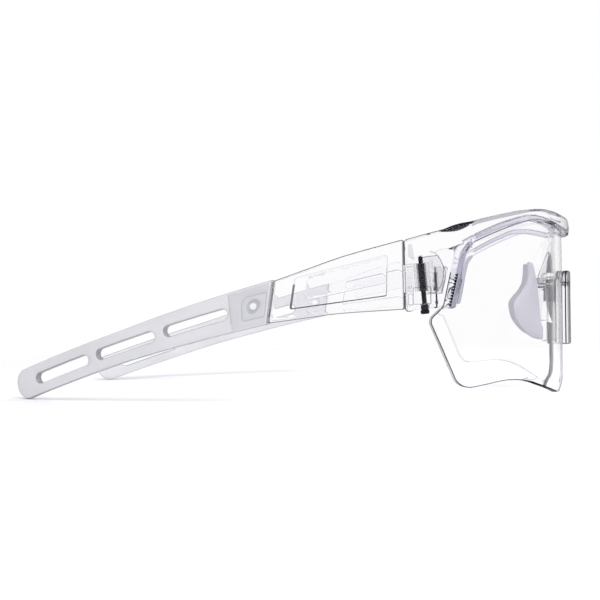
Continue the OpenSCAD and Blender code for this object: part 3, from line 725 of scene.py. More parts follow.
hollow_line = clear_plastic("hollow_outline", (0.8, 0.8, 0.84), 0.1, 1.02, 0.75, *EVERY_SIDE,
                            (0.06, 0.06, 0.08), 1.0)
bm = bmesh.new()
angles = [i * BROW_REACH / BROW_STEPS for i in range(-BROW_STEPS, BROW_STEPS + 1)]
rings = [[bm.verts.new(ahead(*around(a, r), z)) for r, z in brow_section(a)] for a in angles]
for p, q in zip(rings, rings[1:]):
    n = len(p)
    for i in range(n):
        j = (i + 1) % n
        corner, step = divmod(i, CORNER_POINTS)
        # The underside corners take the violet-grey painted underside shade, and corners 0 and 2 a dark painted
        # outline
        bm.faces.new((p[i], q[i], q[j], p[j])).material_index = (
            2 if corner in (4, 5, 8) else 1 if corner in (0, 2) and step < CORNER_POINTS - 1 else 0)
bm.faces.new(rings[0])
bm.faces.new(rings[-1][::-1])
bmesh.ops.recalc_face_normals(bm, faces=bm.faces)
brow = finished("front_frame_moulding", bm, (brow_nylon, brow_line, brow_under))

plan = rounded([(*around(BROW_REACH - 1.5, FRAME_INNER + 0.2), 0),
                (*around(BROW_REACH - 2.5, FRAME_OUTER - 0.4), 0),
                (*around(EDGE_ANGLE - 1, FRAME_OUTER + 0.05), 0), (BLOCK_OUTER, HINGE_DEPTH - 1.5, 8),
                (BLOCK_OUTER, BLOCK_REAR, 0.4)]
               + [(HINGE[0] + (SHOULDER - EAR_GAP) * cos(a), HINGE_DEPTH + (SHOULDER - EAR_GAP) * sin(a), 0)
                  for a in (90, 100, 110, 120)]
               + [(BLOCK_INNER, HINGE_DEPTH + 2.5, 0), (BLOCK_INNER, HINGE_DEPTH - 3, 2),
                  (*around(EDGE_ANGLE - 0.5, FRAME_INNER - 0.05), 0)], 5)
depths = np.linspace(27.0, BLOCK_REAR - 0.02, WALL_STEPS)
walls = span(np.array(plan), depths)
# In front the block follows the brow bar's own curve
for column, r, last in ((0, FRAME_INNER - 0.05, EDGE_ANGLE - 0.5), (1, FRAME_OUTER + 0.05, EDGE_ANGLE - 1)):
    bar = depths < LENS_RADIUS - r * cos(last)
    walls[bar, column] = np.sqrt(r * r - (LENS_RADIUS - depths[bar]) ** 2)
# Both walls run over into the straight part of the block without a crease
for column in (0, 1):
    width = 2 * WALL_BLEND + 1
    middle = np.convolve(np.pad(walls[:, column], WALL_BLEND, "edge"), np.ones(width) / width, "valid")
    blend = np.clip(np.minimum(depths - 31.0, BLOCK_REAR - 3.0 - depths) / 2.0, 0, 1)
    walls[:, column] += (middle - walls[:, column]) * blend
block_line = rounded([(29.2, 51.6, 0), (32.6, 51.6, 6), (38.1, 49.9, 20),
                      (BLOCK_REAR, BLOCK_BOTTOM + BLOCK_HEIGHT, 0.9),
                      (BLOCK_REAR, BLOCK_BOTTOM - 0.6, 0.9), (46.6, BLOCK_BOTTOM - 0.6, 1), (45.4, BLOCK_BOTTOM, 1),
                      (34.5, BLOCK_BOTTOM, 1), (33.3, 32.5, 12), (32.3, 38.0, 10),
                      (31.0, 43.4, 4), (28.4, 47.0, 2)])
# Fine dark lines painted on the block's outer face: painted shade, with no step in the face itself
PAINTED_LINE_WIDTH = 0.09
painted_line_loops = [dense(rounded(c), 0.5) for c in (
    [(47.2, 31.9, 0.2), (46.0, 31.9, 0.4), (46.0, 28.8, 0.1), (47.2, 28.8, 0.1)],
    [(45.9, 33.6, 0.3), (41.0, 33.9, 0.3), (41.0, 29.0, 0.3), (45.9, 29.0, 0.3)])]
# Patches painted in grey shade on the face, where the hollow's facets are seen through it
facets = [dense(rounded(c), 0.5) for c in (
    [(47.2, 45.9, 0.3), (46.0, 46.2, 0.3), (45.2, 40.9, 0.3), (47.2, 42.6, 0.3)],)]
# The hollow's rounded front is painted on the outer face as a thin dark shade line
hollow_front = [(41.7, 32.0), (39.6, 32.1), (38.3, 33.6), (37.5, 35.6), (37.2, 37.6), (37.3, 39.6), (38.0, 41.4),
                (38.8, 42.7), (39.7, 43.6), (41.1, 43.9)]
contour = dense(hollow_front + [(x + (41.5 - x) * 0.045, z + (38.0 - z) * 0.035) for x, z in hollow_front[::-1]],
                0.6)
# Along the claw's front edge a band is painted in soft violet-grey shade
claw_front = [(28.9, 46.3), (31.0, 43.4), (32.3, 38.0), (33.3, 32.5), (34.2, 28.7)]
lip_line = dense([(x + 1.0, z) for x, z in claw_front] + [(x + LIP_WIDTH, z) for x, z in claw_front[::-1]], 0.6)


def block_marks(q):
    """4 on the painted shade lines and on the hollow's painted front, 5 on the patches of painted facet shade, else
    0.
    """
    painted_shade = np.any([inside(q, c) for c in facets], 0)
    line = (np.min([distance(q, c) for c in painted_line_loops], 0) < PAINTED_LINE_WIDTH) | inside(q, contour)
    return np.where(line, 4, np.where(painted_shade, 5, 0))


steps = []
for side in (1, -1):
    block = plate("block", block_line, 0.8, 0.9, lambda p: np.interp(p[:, 0], depths, walls[:, 1]),
                  lambda p: np.interp(p[:, 0], depths, walls[:, 0]),
                  lambda u, v, w: ahead(side * w, u, v),
                  materials=(block_nylon, nylon_edge, nylon_line, nylon_back, painted_line_shade, facet_shade, lip), edge_turn=50,
                  creases=[moved_in(c, d) for c in painted_line_loops for d in (-PAINTED_LINE_WIDTH, PAINTED_LINE_WIDTH)]
                  + facets + [lip_line, contour], mark=block_marks)
    # On the claw, the edge faces take the violet-grey painted shade of the back nylon and the band along its front
    # edge the painted lip shade; low edges elsewhere take the plain block nylon
    for f in block.data.polygons:
        depth, height = f.center[1] * 1000 - LENS_FRONT, f.center[2] * 1000
        edge = np.interp(height, [z for _, z in claw_front[::-1]], [x for x, _ in claw_front[::-1]])
        if f.material_index and depth < CLAW_REAR:
            f.material_index = 3 if height < CLAW_TOP else 0 if depth < 31.5 else f.material_index
        elif depth < edge + LIP_WIDTH and height < CLAW_TOP:
            f.material_index = 6
        elif f.material_index < 4 and height < BLOCK_BOTTOM + 1 and depth < BLOCK_REAR - 2:
            f.material_index = 0
    steps.append(("UNION", block))
steps.append(("UNION", brick("tab", (-2.6, LENS_RADIUS - GROOVE_INNER - 0.3, 48.4),
                             (2.6, LENS_RADIUS - FRAME_INNER, 52), ahead)))
wide = moved_in(dense([np.array(q) for q in outline], 1.6), -LENS_PLAY)
room = plate("room", wide, 0.05, 1.6, flat_face(1.1), flat_face(-1.1), at_lens)
steps.append(("DIFFERENCE", room))
low, high = BARREL_LOW - EAR_GAP, BARREL_HIGH + EAR_GAP
for side in (1, -1):
    place = lambda x, y, z: at_hinge(x, y, z, side)
    core_line = rounded([(0, -5.4, 0), (0, 5.2, 0), (-5.0, 5.4, 0.6), (-6.7, 1.1, 4), (-6.5, -1.5, 4),
                         (-5.1, -5.6, 0.8)])
    rear_out = BLOCK_OUTER - HINGE[0] - 1.15
    # The hollow's cut walls carry a light painted grey shade, and the core's edges a dark painted shade line
    steps += [("DIFFERENCE", tool) for tool in (
        round_bar("hollow", BARREL_RADIUS + SWING, low, high, place, materials=(hollow_wall,)),
        brick("hollow_rear", (rear_out - 20, 0, low), (rear_out, 20, high), place, (hollow_wall,)),
        brick("hollow_inner", (-20, -BARREL_RADIUS - SWING, low), (0, 17, high), place, (hollow_wall,)),
        plate("core", core_line, 0.1, 1.0, flat_face(0.5), flat_face(-0.9), lambda u, v, w: place(w, u, v),
              materials=(hollow_wall, hollow_line)),
        round_bar("bore", SCREW_RADIUS + SCREW_PLAY, EAR_LOW - 3, SCREW_TOP + 0.2, place),
        round_bar("counterbore", HEAD_RADIUS + 0.15, EAR_LOW - 3, EAR_LOW + COUNTERBORE, place))]
brow = carved(brow, *steps)
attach(brow, "front")
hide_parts("front_frame")


# Claw teeth and brow ribs
# Small teeth inside each claw bite the lens's edge, and fine ribs above the hinge stiffen the brow's end.
# They are moulded in one with the frame, and are painted in dark shade for the shade caught between them.
TEETH, RIBS = 11, 26
# Across the row, along it and outwards
TOOTH_SIZE, RIB_SIZE = (1.2, 0.95, 0.7), (1.9, 0.2, 0.9)


def tree_with(name, inputs):
    """A node tree with geometry in and out and named inputs, what its inputs give, and their identifiers."""
    g = bpy.data.node_groups.new(name, "GeometryNodeTree")
    for way in ("INPUT", "OUTPUT"):
        g.interface.new_socket(name="Geometry", in_out=way, socket_type="NodeSocketGeometry")
    names = {}
    for label, kind, value in inputs:
        item = g.interface.new_socket(name=label, in_out="INPUT", socket_type="NodeSocket" + kind)
        item.default_value = value
        names[label] = item.identifier
    return g, g.nodes.new("NodeGroupInput").outputs, names


def end_tree(g, geometry, material):
    """Ends a node tree with its instances made real and all in one material."""
    real = node(g, "GeometryNodeRealizeInstances", {"Geometry": geometry})
    paint = node(g, "GeometryNodeSetMaterial", {"Geometry": real.outputs[0], "Material": material})
    node(g, "NodeGroupOutput", {"Geometry": paint.outputs[0]})


def shaped(piece, tree, names, sizes):
    """Gives the piece the plain mesh that the node tree makes of it with these sizes."""
    m = piece.modifiers.new("shape", "NODES")
    m.node_group = tree
    for label, value in sizes.items():
        m[names[label]] = value
    bpy.context.view_layer.update()
    mesh = bpy.data.meshes.new_from_object(piece.evaluated_get(bpy.context.evaluated_depsgraph_get()))
    piece.modifiers.clear()
    piece.data = mesh


def rib_row(material):
    """A node tree that sets a row of small ribs along a path.

    Crown is the share by which the end ribs are lower than the middle one.
    """
    g, given, names = tree_with("rib_row", (
        ("Rib Count", "Int", 10), ("Rib Size", "Vector", (0.0005, 0.0005, 0.0005)),
        ("Outward", "Vector", (-1, 0, 0)), ("Crown", "Float", 0.0), ("Rib Sides", "Int", 3)))
    path = node(g, "GeometryNodeMeshToCurve", {"Mesh": given["Geometry"]})
    even = node(g, "GeometryNodeResampleCurve", {"Curve": path.outputs[0], "Count": given["Rib Count"]})
    rib = node(g, "GeometryNodeMeshCylinder", {"Vertices": given["Rib Sides"], "Radius": 0.5, "Depth": 1.0})
    outward = node(g, "FunctionNodeAlignRotationToVector", {"Vector": given["Outward"]}, axis="Z")
    tangent = node(g, "GeometryNodeInputTangent")
    along = node(g, "FunctionNodeAlignRotationToVector",
                 {"Rotation": outward.outputs[0], "Vector": tangent.outputs[0]},
                 axis="Y", pivot_axis="Z")
    place = node(g, "GeometryNodeSplineParameter")
    turn = node(g, "ShaderNodeMath", {0: place.outputs["Factor"], 1: math.pi}, operation="MULTIPLY")
    wave = node(g, "ShaderNodeMath", {0: turn.outputs[0]}, operation="SINE")
    ends = node(g, "ShaderNodeMath", {0: 1.0, 1: given["Crown"]}, operation="SUBTRACT")
    rise = node(g, "ShaderNodeMapRange", {"Value": wave.outputs[0], "To Min": ends.outputs[0]})
    tall = node(g, "ShaderNodeCombineXYZ", {"X": rise.outputs["Result"], "Y": 1.0, "Z": 1.0})
    size = node(g, "ShaderNodeVectorMath", {0: given["Rib Size"], 1: tall.outputs[0]}, operation="MULTIPLY")
    row = node(g, "GeometryNodeInstanceOnPoints", {
        "Points": even.outputs[0], "Instance": rib.outputs["Mesh"], "Rotation": along.outputs[0],
        "Scale": size.outputs[0]})
    end_tree(g, row.outputs[0], material)
    return g, names


painted_shade = clear_plastic("smoky_ribs", (0.35, 0.35, 0.40), 0.3, 1.05, 0.85, *EVERY_SIDE, (0.05, 0.05, 0.07), 0.8)
rib_tree, rib_names = rib_row(painted_shade)
tooth_path = [(62.3, 37.1), (63.0, 34.2), (63.7, 31.2), (64.3, 28.6)]
rib_path = [(66.9, 49.4), (64.3, 50.05), (61.75, 50.7), (59.3, 51.55), (56.95, 52.5)]
for name, sign in (("left", 1), ("right", -1)):
    for kind, points, r, count, size, crown, sides in (("claw_teeth_", tooth_path, 65.0, TEETH, TOOTH_SIZE, 0.0, 3),
                                                       ("brow_ribs_", rib_path, 65.2, RIBS, RIB_SIZE, 0.95, 4)):
        path = bpy.data.meshes.new(kind + name)
        path.from_pydata([ahead(*around(sign * a, r), z) for a, z in points[::-sign]],
                         [(i, i + 1) for i in range(len(points) - 1)], [])
        row = new_object(kind + name, path)
        middle = points[len(points) // 2][0]
        shaped(row, rib_tree, rib_names, {
            "Rib Count": count, "Rib Size": [c / 1000 for c in size],
            "Outward": (sign * sin(middle), -cos(middle), 0.0), "Crown": crown, "Rib Sides": sides})
        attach(row, "front")


# Temple arms
# Flat clear nylon arms, each with a shallow recess outside, a barrel in front for the hinge screw
# and a tongue behind, over which the ear sock is pushed.
ARM_OUTER, ARM_THICKNESS = 2.8, 3.4
ARM_INNER = ARM_OUTER - ARM_THICKNESS
RECESS_DEPTH, RECESS_WALL = 1.2, 0.35
arm_line = rounded([(SHOULDER, BLOCK_BOTTOM + BLOCK_HEIGHT + 0.2, 0.5), (ARM_LENGTH * 0.5, 43.4, 120),
                    (ARM_LENGTH - JOINT_SLANT, 36.5, 0.6), (ARM_LENGTH + JOINT_SLANT, 24.0, 0.6),
                    (ARM_LENGTH * 0.54, 26.6, 120), (SHOULDER, BLOCK_BOTTOM, 0.5)])
recess_line = dense(rounded([(9.2, 43.4, 0.6), (9.8, 31.4, 0.6), (ARM_LENGTH - 5.8, 28.0, 0.6),
                             (ARM_LENGTH - 7.4, 37.4, 1.2)]), 0.5)
plaque_line = rounded([(9.5, 43.1, 0.6), (9.9, 35.3, 0.5), (34.2, 30.5, 1.6), (33.2, 37.6, 1)])


def at_arm(u, v, w, side=1):
    """A point of the arm: u back along it, v up from the ground, w out."""
    return (side * (HINGE[0] + w * cos(TOE_IN) - u * sin(TOE_IN)) / 1000,
            (HINGE[1] + w * sin(TOE_IN) + u * cos(TOE_IN)) / 1000, v / 1000)


def arm_face(points):
    """The arm's outer face, with its recess."""
    within = inside(points, recess_line)
    deep = np.where(within, np.clip(distance(points, recess_line) / RECESS_WALL, 0, 1), 0)
    return ARM_OUTER - RECESS_DEPTH * deep * deep * (3 - 2 * deep)


def arm_marks(q):
    """3 on the recess's rear and lower walls, painted in dark shade, 1 on its other low walls, 4 on its high walls,
    painted in light shade, else 0.
    """
    wall = inside(q, recess_line) & (distance(q, recess_line) < RECESS_WALL)
    low = q[:, 1] < 35.3
    dark = low & ((q[:, 0] > ARM_LENGTH - 8) | (q[:, 0] < 24) & (q[:, 0] > 11))
    return np.where(wall & dark, 3, np.where(wall & low, 1, np.where(wall, 4, 0)))


# The barrel is painted a light grey for the shade in the block's hollow; the recess's walls take painted shade,
# dark low and light high
barrel_nylon = clear_plastic("barrel_nylon", (0.97, 0.97, 0.98), 0.1, 1.12, 0.14, *EVERY_SIDE,
                             (0.40, 0.40, 0.45), 1.0)
recess_shade = clear_plastic("recess_wall", (0.7, 0.7, 0.74), 0.2, 1.02, 0.85, *EVERY_SIDE, (0.08, 0.08, 0.10), 0.2)
high_wall = clear_plastic("high_recess_wall", (0.97, 0.97, 0.98), 0.05, 1.04, 0.16, *EVERY_SIDE,
                          (0.3, 0.3, 0.34), 0.3)
creases = [moved_in(recess_line, d) for d in (-0.12, 0.0, 0.09, 0.18, 0.27, RECESS_WALL)]
for name, sign in (("left", 1), ("right", -1)):
    arm = plate("temple_arm_moulding_" + name, arm_line, 0.45, 0.9, arm_face, flat_face(ARM_INNER),
                lambda u, v, w: at_arm(u, v, w, sign), creases=creases,
                materials=(nylon, nylon_edge, nylon_line, recess_shade, high_wall), edge_turn=70, mark=arm_marks)
    place = lambda x, y, z: at_hinge(x, y, z, sign)
    barrel = round_bar("barrel", BARREL_RADIUS, BARREL_LOW, BARREL_HIGH, place, materials=(barrel_nylon,))
    toed_in = lambda x, y, z: place(x * cos(TOE_IN) - y * sin(TOE_IN), x * sin(TOE_IN) + y * cos(TOE_IN), z)
    web = brick("web", (ARM_INNER, 0, BARREL_LOW), (BARREL_RADIUS, SHOULDER + 1, BARREL_HIGH), toed_in, (nylon,))
    tongue = plate("tongue", rounded([(ARM_LENGTH - 3, JOINT_Z + 4.1, 0), (ARM_LENGTH - 3, JOINT_Z - 3.4, 0),
                                      (ARM_LENGTH + 10.8, JOINT_Z - 5.5, 1),
                                      (ARM_LENGTH + 12, JOINT_Z + 2.6, 1)]), 0.2, 1.0, flat_face(ARM_MIDDLE + 0.8),
                   flat_face(ARM_MIDDLE - 0.8), lambda u, v, w: at_arm(u, v, w, sign))
    bore = round_bar("bore", SCREW_RADIUS + SCREW_PLAY + SLEEVE_WALL + 0.02, BARREL_LOW - 1, BARREL_HIGH + 1, place)
    arm = carved(arm, ("UNION", barrel), ("UNION", web), ("UNION", tongue), ("DIFFERENCE", bore))
    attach(arm, "temple_" + name)
    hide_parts("temple_arm_" + name)
    plaque = plate("arm_plaque_" + name, plaque_line, 0.18, 0.9, flat_face(ARM_OUTER - RECESS_DEPTH + 0.74),
                   flat_face(ARM_OUTER - RECESS_DEPTH + 0.02), lambda u, v, w: at_arm(u, v, w, sign),
                   materials=(nylon, nylon_edge))
    # The plaque's upper faces take the plain nylon, without the painted edge shade
    for f in plaque.data.polygons:
        back, above = f.center[1] * 1000 - HINGE[1], f.center[2] * 1000 - 35.3
        if above + (back - 9.9) * 0.2 > (3.8 if back < 11 else 1.5):
            f.material_index = 0
    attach(plaque, "temple_" + name)
    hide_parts("arm_inlay_" + name)


# Nose piece
# A clear clip in front of the lens and a clear carrier behind it grip the notch's edge between them.
# Two pegs of the clip go through the carrier's bosses, and its stem hooks behind the brow.
CLIP_PROUD, BAND_WIDTH, CLIP_BOTTOM, RIM_DEPTH = 2.6, 2.6, 14.5, 1.2
CARRIER_OUTER = LENS_RADIUS - LENS_THICKNESS - 0.03
PEG_X, PEG_Z, PEG_RADIUS, PEG_LENGTH = 3.0, NOTCH_TOP - 1.3, 0.8, 3.4


def band(name, out, back, outer, inner, edge, materials=()):
    """A strip round the notch between two offsets of its edge and two radii of the lens's curve."""
    middle = (outer + inner) / 2
    paths = [[q for q in dense_line(notch(g), 0.6) if q[1] >= CLIP_BOTTOM] for g in (out, back)]
    loop = [(math.asin(x / middle) * middle, z) for x, z in paths[0] + paths[1][::-1]]
    return plate(name, loop, edge, 0.7, flat_face(outer - middle), flat_face(inner - middle),
                 lambda u, v, w: ahead((middle + w) * math.sin(u / middle),
                                       LENS_RADIUS - (middle + w) * math.cos(u / middle), v), materials=materials)


def dense_line(path, step):
    """An open path with each long side cut into steps."""
    out = []
    for p, q in zip(path, path[1:]):
        n = max(1, round(np.linalg.norm(q - p) / step))
        out += [p + (q - p) * k / n for k in range(n)]
    return out + [path[-1]]


def at_peg(side):
    """Gives points their place about one peg's axis, which runs forwards."""
    return lambda x, y, z: ahead(x + side * PEG_X, -z, PEG_Z + y)


# The nose piece's clear nylons paint shade along their edges; the stem is painted a light grey shade, and the
# bosses, the outlines and the stem's shadow a darker one
clip_nylon = clear_plastic("nose_clip_nylon", (0.98, 0.98, 0.99), 0.02, 1.22, 0.8, 0.6, 1.0,
                           (0.13, 0.12, 0.16), 0.2)
clip_edge = clear_plastic("nose_clip_edge", (0.97, 0.97, 0.98), 0.03, 1.12, 0.9, 0.1, 0.7, (0.08, 0.08, 0.11), 0.25)
stem_nylon = clear_plastic("nose_stem_nylon", (0.95, 0.95, 0.97), 0.1, 1.1, 0.16, *EVERY_SIDE,
                           (0.35, 0.34, 0.40), 1.0)
stem_shadow = clear_plastic("nose_stem_shadow", (0.4, 0.38, 0.46), 0.1, 1.02, 0.85, *EVERY_SIDE,
                            (0.06, 0.05, 0.10), 1.0)
core_shade = clear_plastic("nose_clip_seam", (0.5, 0.5, 0.55), 0.1, 1.02, 0.85, *EVERY_SIDE, (0.05, 0.05, 0.08), 0.8)
clip_line = clear_plastic("nose_clip_outline", (0.9, 0.9, 0.93), 0.1, 1.05, 0.6, *EVERY_SIDE,
                          (0.10, 0.10, 0.14), 0.35)
clip = band("nose_clip_moulding", BAND_WIDTH, -RIM_DEPTH, LENS_RADIUS + CLIP_PROUD, LENS_RADIUS + 0.03, 0.75,
            (clip_nylon, clip_edge, clip_line))
rim = band("rim", -0.1, -RIM_DEPTH, LENS_RADIUS + 1.0, CARRIER_OUTER + 0.03, 0.2, (clip_nylon, clip_edge))
pegs = [round_bar("peg", PEG_RADIUS, -LENS_THICKNESS - PEG_LENGTH, 1.2, at_peg(s), 24) for s in (1, -1)]
clip = carved(clip, ("UNION", rim), ("UNION", pegs[0]), ("UNION", pegs[1]))
# A dark line painted along the middle of the clip's outer edge: painted shade for the dark core of the clear bar
core_shade_line = band("nose_clip_parting_line", BAND_WIDTH + 0.03, BAND_WIDTH - 0.25, LENS_RADIUS + 1.45,
               LENS_RADIUS + 1.05, 0.08, (core_shade,))
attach(core_shade_line, "front")
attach(clip, "front")
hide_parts("nose_clip")

STEM_WIDTH, STEM_DEPTH, STEM_TOP = 4.8, 5.6, 48.2
boss_nylon = clear_plastic("nose_boss_nylon", (0.93, 0.93, 0.95), 0.1, 1.2, 0.55, -0.4, 0.8,
                           (0.18, 0.18, 0.23), 1.0)
carrier = band("nose_carrier_moulding", BAND_WIDTH - 0.4, -RIM_DEPTH, CARRIER_OUTER, CARRIER_OUTER - 3.2, 0.6,
               (clip_nylon, clip_edge, clip_line))
back = LENS_THICKNESS + 0.08
# A dark streak of painted shadow on the stem's side, in its front part
shadow_patch = dense(rounded([(3.25, 45.4, 0), (2.85, 42.3, 3), (2.72, 37.0, 3), (2.9, 35.5, 0.4), (4.5, 35.5, 0.4),
                       (4.57, 38.5, 3), (4.05, 42.35, 3)]), 0.4)
stem = plate("stem", rounded([(back, STEM_TOP, 0), (back + 1.2, STEM_TOP, 0.7), (back + 2.4, STEM_TOP - 3.6, 4),
                              (back + STEM_DEPTH, NOTCH_TOP + 1, 1), (back + STEM_DEPTH - 0.2, PEG_Z, 0.5),
                              (back, PEG_Z, 0)]),
             0.5, 0.7, flat_face(STEM_WIDTH / 2), flat_face(-STEM_WIDTH / 2),
             lambda u, v, w: ahead(w, u, v), creases=[shadow_patch],
             materials=(stem_nylon, clip_edge, clip_edge, stem_shadow))
for f in stem.data.polygons:
    side_view = np.array([(f.center[1] * 1000 - LENS_FRONT, f.center[2] * 1000)])
    if f.material_index == 0 and inside(side_view, shadow_patch)[0]:
        f.material_index = 3
bosses = [round_bar("boss", PEG_RADIUS + 0.9, -LENS_THICKNESS - PEG_LENGTH - 3.2, -LENS_THICKNESS - 0.8,
                    at_peg(s), 32, (boss_nylon,)) for s in (1, -1)]
blade_line = rounded([(0.5 - PAD_FRONT, PAD_HIGH * 0.37, 0), (PAD_FRONT, PAD_HIGH * 0.15, 1.5),
                      (PAD_FRONT + 1, -PAD_LOW * 0.42, 1.5), (0.5 - PAD_FRONT, -PAD_LOW * 0.63, 0)])
blades = [plate("blade", blade_line, 0.2, 0.8, flat_face(0.5), flat_face(-0.5), lambda u, v, w: at_pad(u, v, w, s))
          for s in (1, -1)]
holes = [round_bar("hole", PEG_RADIUS + 0.03, -12, 0, at_peg(s), 24) for s in (1, -1)]
carrier = carved(carrier, ("UNION", stem), *[("UNION", o) for o in bosses + blades],
                 *[("DIFFERENCE", o) for o in holes])
# The arch's shoulders beside the stem take the painted stem shadow
for f in carrier.data.polygons:
    x, y, z = f.center * 1000
    if 28.5 < z < 35 and 7 < abs(x) < 9.9 and 2.6 < y - LENS_FRONT < 4.6 and abs(f.normal.x) > 0.5:
        f.material_index = carrier.data.materials.find(stem_shadow.name)
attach(carrier, "front")
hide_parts("nose_carrier")


# Hinge screws
# Dark steel screws from below, each with a threaded shank, a collar and a knurled head with a slot.
# A washer lies under the head, and a sleeve in the arm's barrel lets the arm turn on the shank.
SEAT = EAR_LOW + COUNTERBORE - 0.3
HEAD_HEIGHT = 2.7
WASHER_RADIUS = 1.2


def dark_metal(name, colour, roughness):
    """Blackened steel with a fine turned grain."""
    m, t = bare_material(name)
    coords = node(t, "ShaderNodeTexCoord")
    grain = node(t, "ShaderNodeTexNoise", {"Vector": coords.outputs["Object"], "Scale": 1500.0})
    shade = node(t, "ShaderNodeValToRGB", {"Fac": grain.outputs["Fac"]})
    shade.color_ramp.elements[0].color = (*[c * 0.5 for c in colour], 1)
    shade.color_ramp.elements[1].color = (*colour, 1)
    body = node(t, "ShaderNodeBsdfPrincipled", {
        "Base Color": shade.outputs["Color"], "Metallic": 0.4, "Roughness": roughness, "Specular IOR Level": 0.1})
    node(t, "ShaderNodeOutputMaterial", {"Surface": body.outputs[0]})
    return m


def turned_thread(material):
    """A node tree that winds a thread round a screw's shank and knurls its head."""
    g, given, names = tree_with("screw_thread", (
        ("Thread Radius", "Float", 0.00068), ("Thread Width", "Float", 0.0002), ("Thread Start", "Float", 0.0),
        ("Thread Length", "Float", 0.005), ("Turns", "Float", 9.0), ("Knurl Count", "Int", 24),
        ("Knurl Radius", "Float", 0.0012), ("Knurl Middle", "Float", -0.008), ("Knurl Height", "Float", 0.0009)))
    spiral = node(g, "GeometryNodeCurveSpiral", {
        "Resolution": 28, "Rotations": given["Turns"], "Start Radius": given["Thread Radius"],
        "End Radius": given["Thread Radius"], "Height": given["Thread Length"]})
    profile = node(g, "GeometryNodeCurvePrimitiveCircle", {"Resolution": 4, "Radius": given["Thread Width"]})
    wind = node(g, "GeometryNodeCurveToMesh",
                {"Curve": spiral.outputs[0], "Profile Curve": profile.outputs[0], "Fill Caps": True})
    lift = node(g, "ShaderNodeCombineXYZ", {"Z": given["Thread Start"]})
    thread = node(g, "GeometryNodeTransform", {"Geometry": wind.outputs[0], "Translation": lift.outputs[0]})
    row = node(g, "GeometryNodeMeshCircle", {"Vertices": given["Knurl Count"], "Radius": given["Knurl Radius"]})
    tooth = node(g, "GeometryNodeMeshCylinder", {"Vertices": 8, "Radius": 0.00009, "Depth": given["Knurl Height"]})
    teeth = node(g, "GeometryNodeInstanceOnPoints", {"Points": row.outputs[0], "Instance": tooth.outputs["Mesh"]})
    drop = node(g, "ShaderNodeCombineXYZ", {"Z": given["Knurl Middle"]})
    knurl = node(g, "GeometryNodeTransform", {"Geometry": teeth.outputs[0], "Translation": drop.outputs[0]})
    join = node(g, "GeometryNodeJoinGeometry")
    for source in (given["Geometry"], thread.outputs[0], knurl.outputs[0]):
        g.links.new(source, join.inputs[0])
    end_tree(g, join.outputs[0], material)
    return g, names


def turned(name, profile, place, turns=40, materials=()):
    """A closed turned part from its (radius, height) profile, hollow where the profile starts off the axis."""
    bm = bmesh.new()
    hollow = profile[0][0] > 0
    rings = []
    for r, z in profile:
        rings.append(ring_at(bm, r, z, place, turns if r else 1))
    pairs = list(zip(rings, rings[1:])) + ([(rings[-1], rings[0])] if hollow else [])
    for p, q in pairs:
        for i in range(turns):
            j = (i + 1) % turns
            ring = [p[i % len(p)], p[j % len(p)], q[j % len(q)], q[i % len(q)]]
            ring = [v for k, v in enumerate(ring) if v not in ring[:k]]
            if len(ring) > 2:
                bm.faces.new(ring)
    return finished(name, bm, materials)


black = dark_metal("blackened_steel", (0.022, 0.022, 0.026), 0.38)
bright = dark_metal("sleeve_steel", (0.30, 0.30, 0.33), 0.3)
tree, names = turned_thread(black)
local = lambda x, y, z: (x / 1000, y / 1000, z / 1000)
head = SEAT - HEAD_HEIGHT
screw_profile = [(0, head), (1.0, head), (1.2, head + 0.2), (1.2, head + 1.1), (0.98, head + 1.25),
                 (0.98, head + 1.5), (1.2, head + 1.65),
                 (1.2, head + 2.4), (1.1, head + 2.6), (0.78, SEAT), (0.7, SEAT + 0.2), (0.7, BARREL_HIGH + 0.1),
                 (0.62, BARREL_HIGH + 0.3),
                 (0.62, SCREW_TOP - 0.3), (0.35, SCREW_TOP - 0.02), (0, SCREW_TOP - 0.02)]
for name, sign in (("left", 1), ("right", -1)):
    screw = turned("hinge_screw_steel_" + name, screw_profile, local, materials=(black,))
    cutter = brick("slot", (-0.17, -2, head - 1), (0.17, 2, head + 0.45), local)
    screw = carved(screw, ("DIFFERENCE", cutter))
    shaped(screw, tree, names, {
        "Thread Radius": 0.00062, "Thread Width": 0.00011, "Thread Start": (BARREL_HIGH + 0.45) / 1000,
        "Thread Length": (SCREW_TOP - BARREL_HIGH - 0.9) / 1000, "Turns": 5.0, "Knurl Radius": 0.00118,
        "Knurl Middle": (head + 0.65) / 1000, "Knurl Height": 0.0008})
    mesh = screw.data
    for v in mesh.vertices:
        v.co = at_hinge(*(c * 1000 for c in v.co), sign)
    if sign < 0:
        mesh.flip_normals()
    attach(screw, "front")
    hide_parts("hinge_screw_" + name)
    place = lambda x, y, z: at_hinge(x, y, z, sign)
    washer = turned("hinge_washer_steel_" + name,
                    [(SCREW_RADIUS + 0.06, SEAT + 0.01), (WASHER_RADIUS, SEAT + 0.01), (WASHER_RADIUS, SEAT + 0.29),
                                                   (SCREW_RADIUS + 0.06, SEAT + 0.29)], place, materials=(bright,))
    wall, ribs = SCREW_RADIUS + SLEEVE_WALL, 15
    pitch = (BARREL_HIGH - BARREL_LOW - 0.4) / ribs
    ring_profile = [(SCREW_RADIUS + 0.06, BARREL_LOW), (wall, BARREL_LOW)]
    for i in range(ribs):
        z = BARREL_LOW + 0.2 + i * pitch
        ring_profile += [(wall, z), (wall - 0.16, z + pitch * 0.25), (wall - 0.16, z + pitch * 0.5),
                         (wall, z + pitch * 0.75)]
    ring_profile += [(wall, BARREL_HIGH), (SCREW_RADIUS + 0.06, BARREL_HIGH)]
    sleeve = turned("hinge_sleeve_steel_" + name, ring_profile, place, materials=(black,))
    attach(washer, "front")
    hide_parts("hinge_washer_" + name)
    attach(sleeve, "temple_" + name)
    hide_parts("hinge_sleeve_" + name)

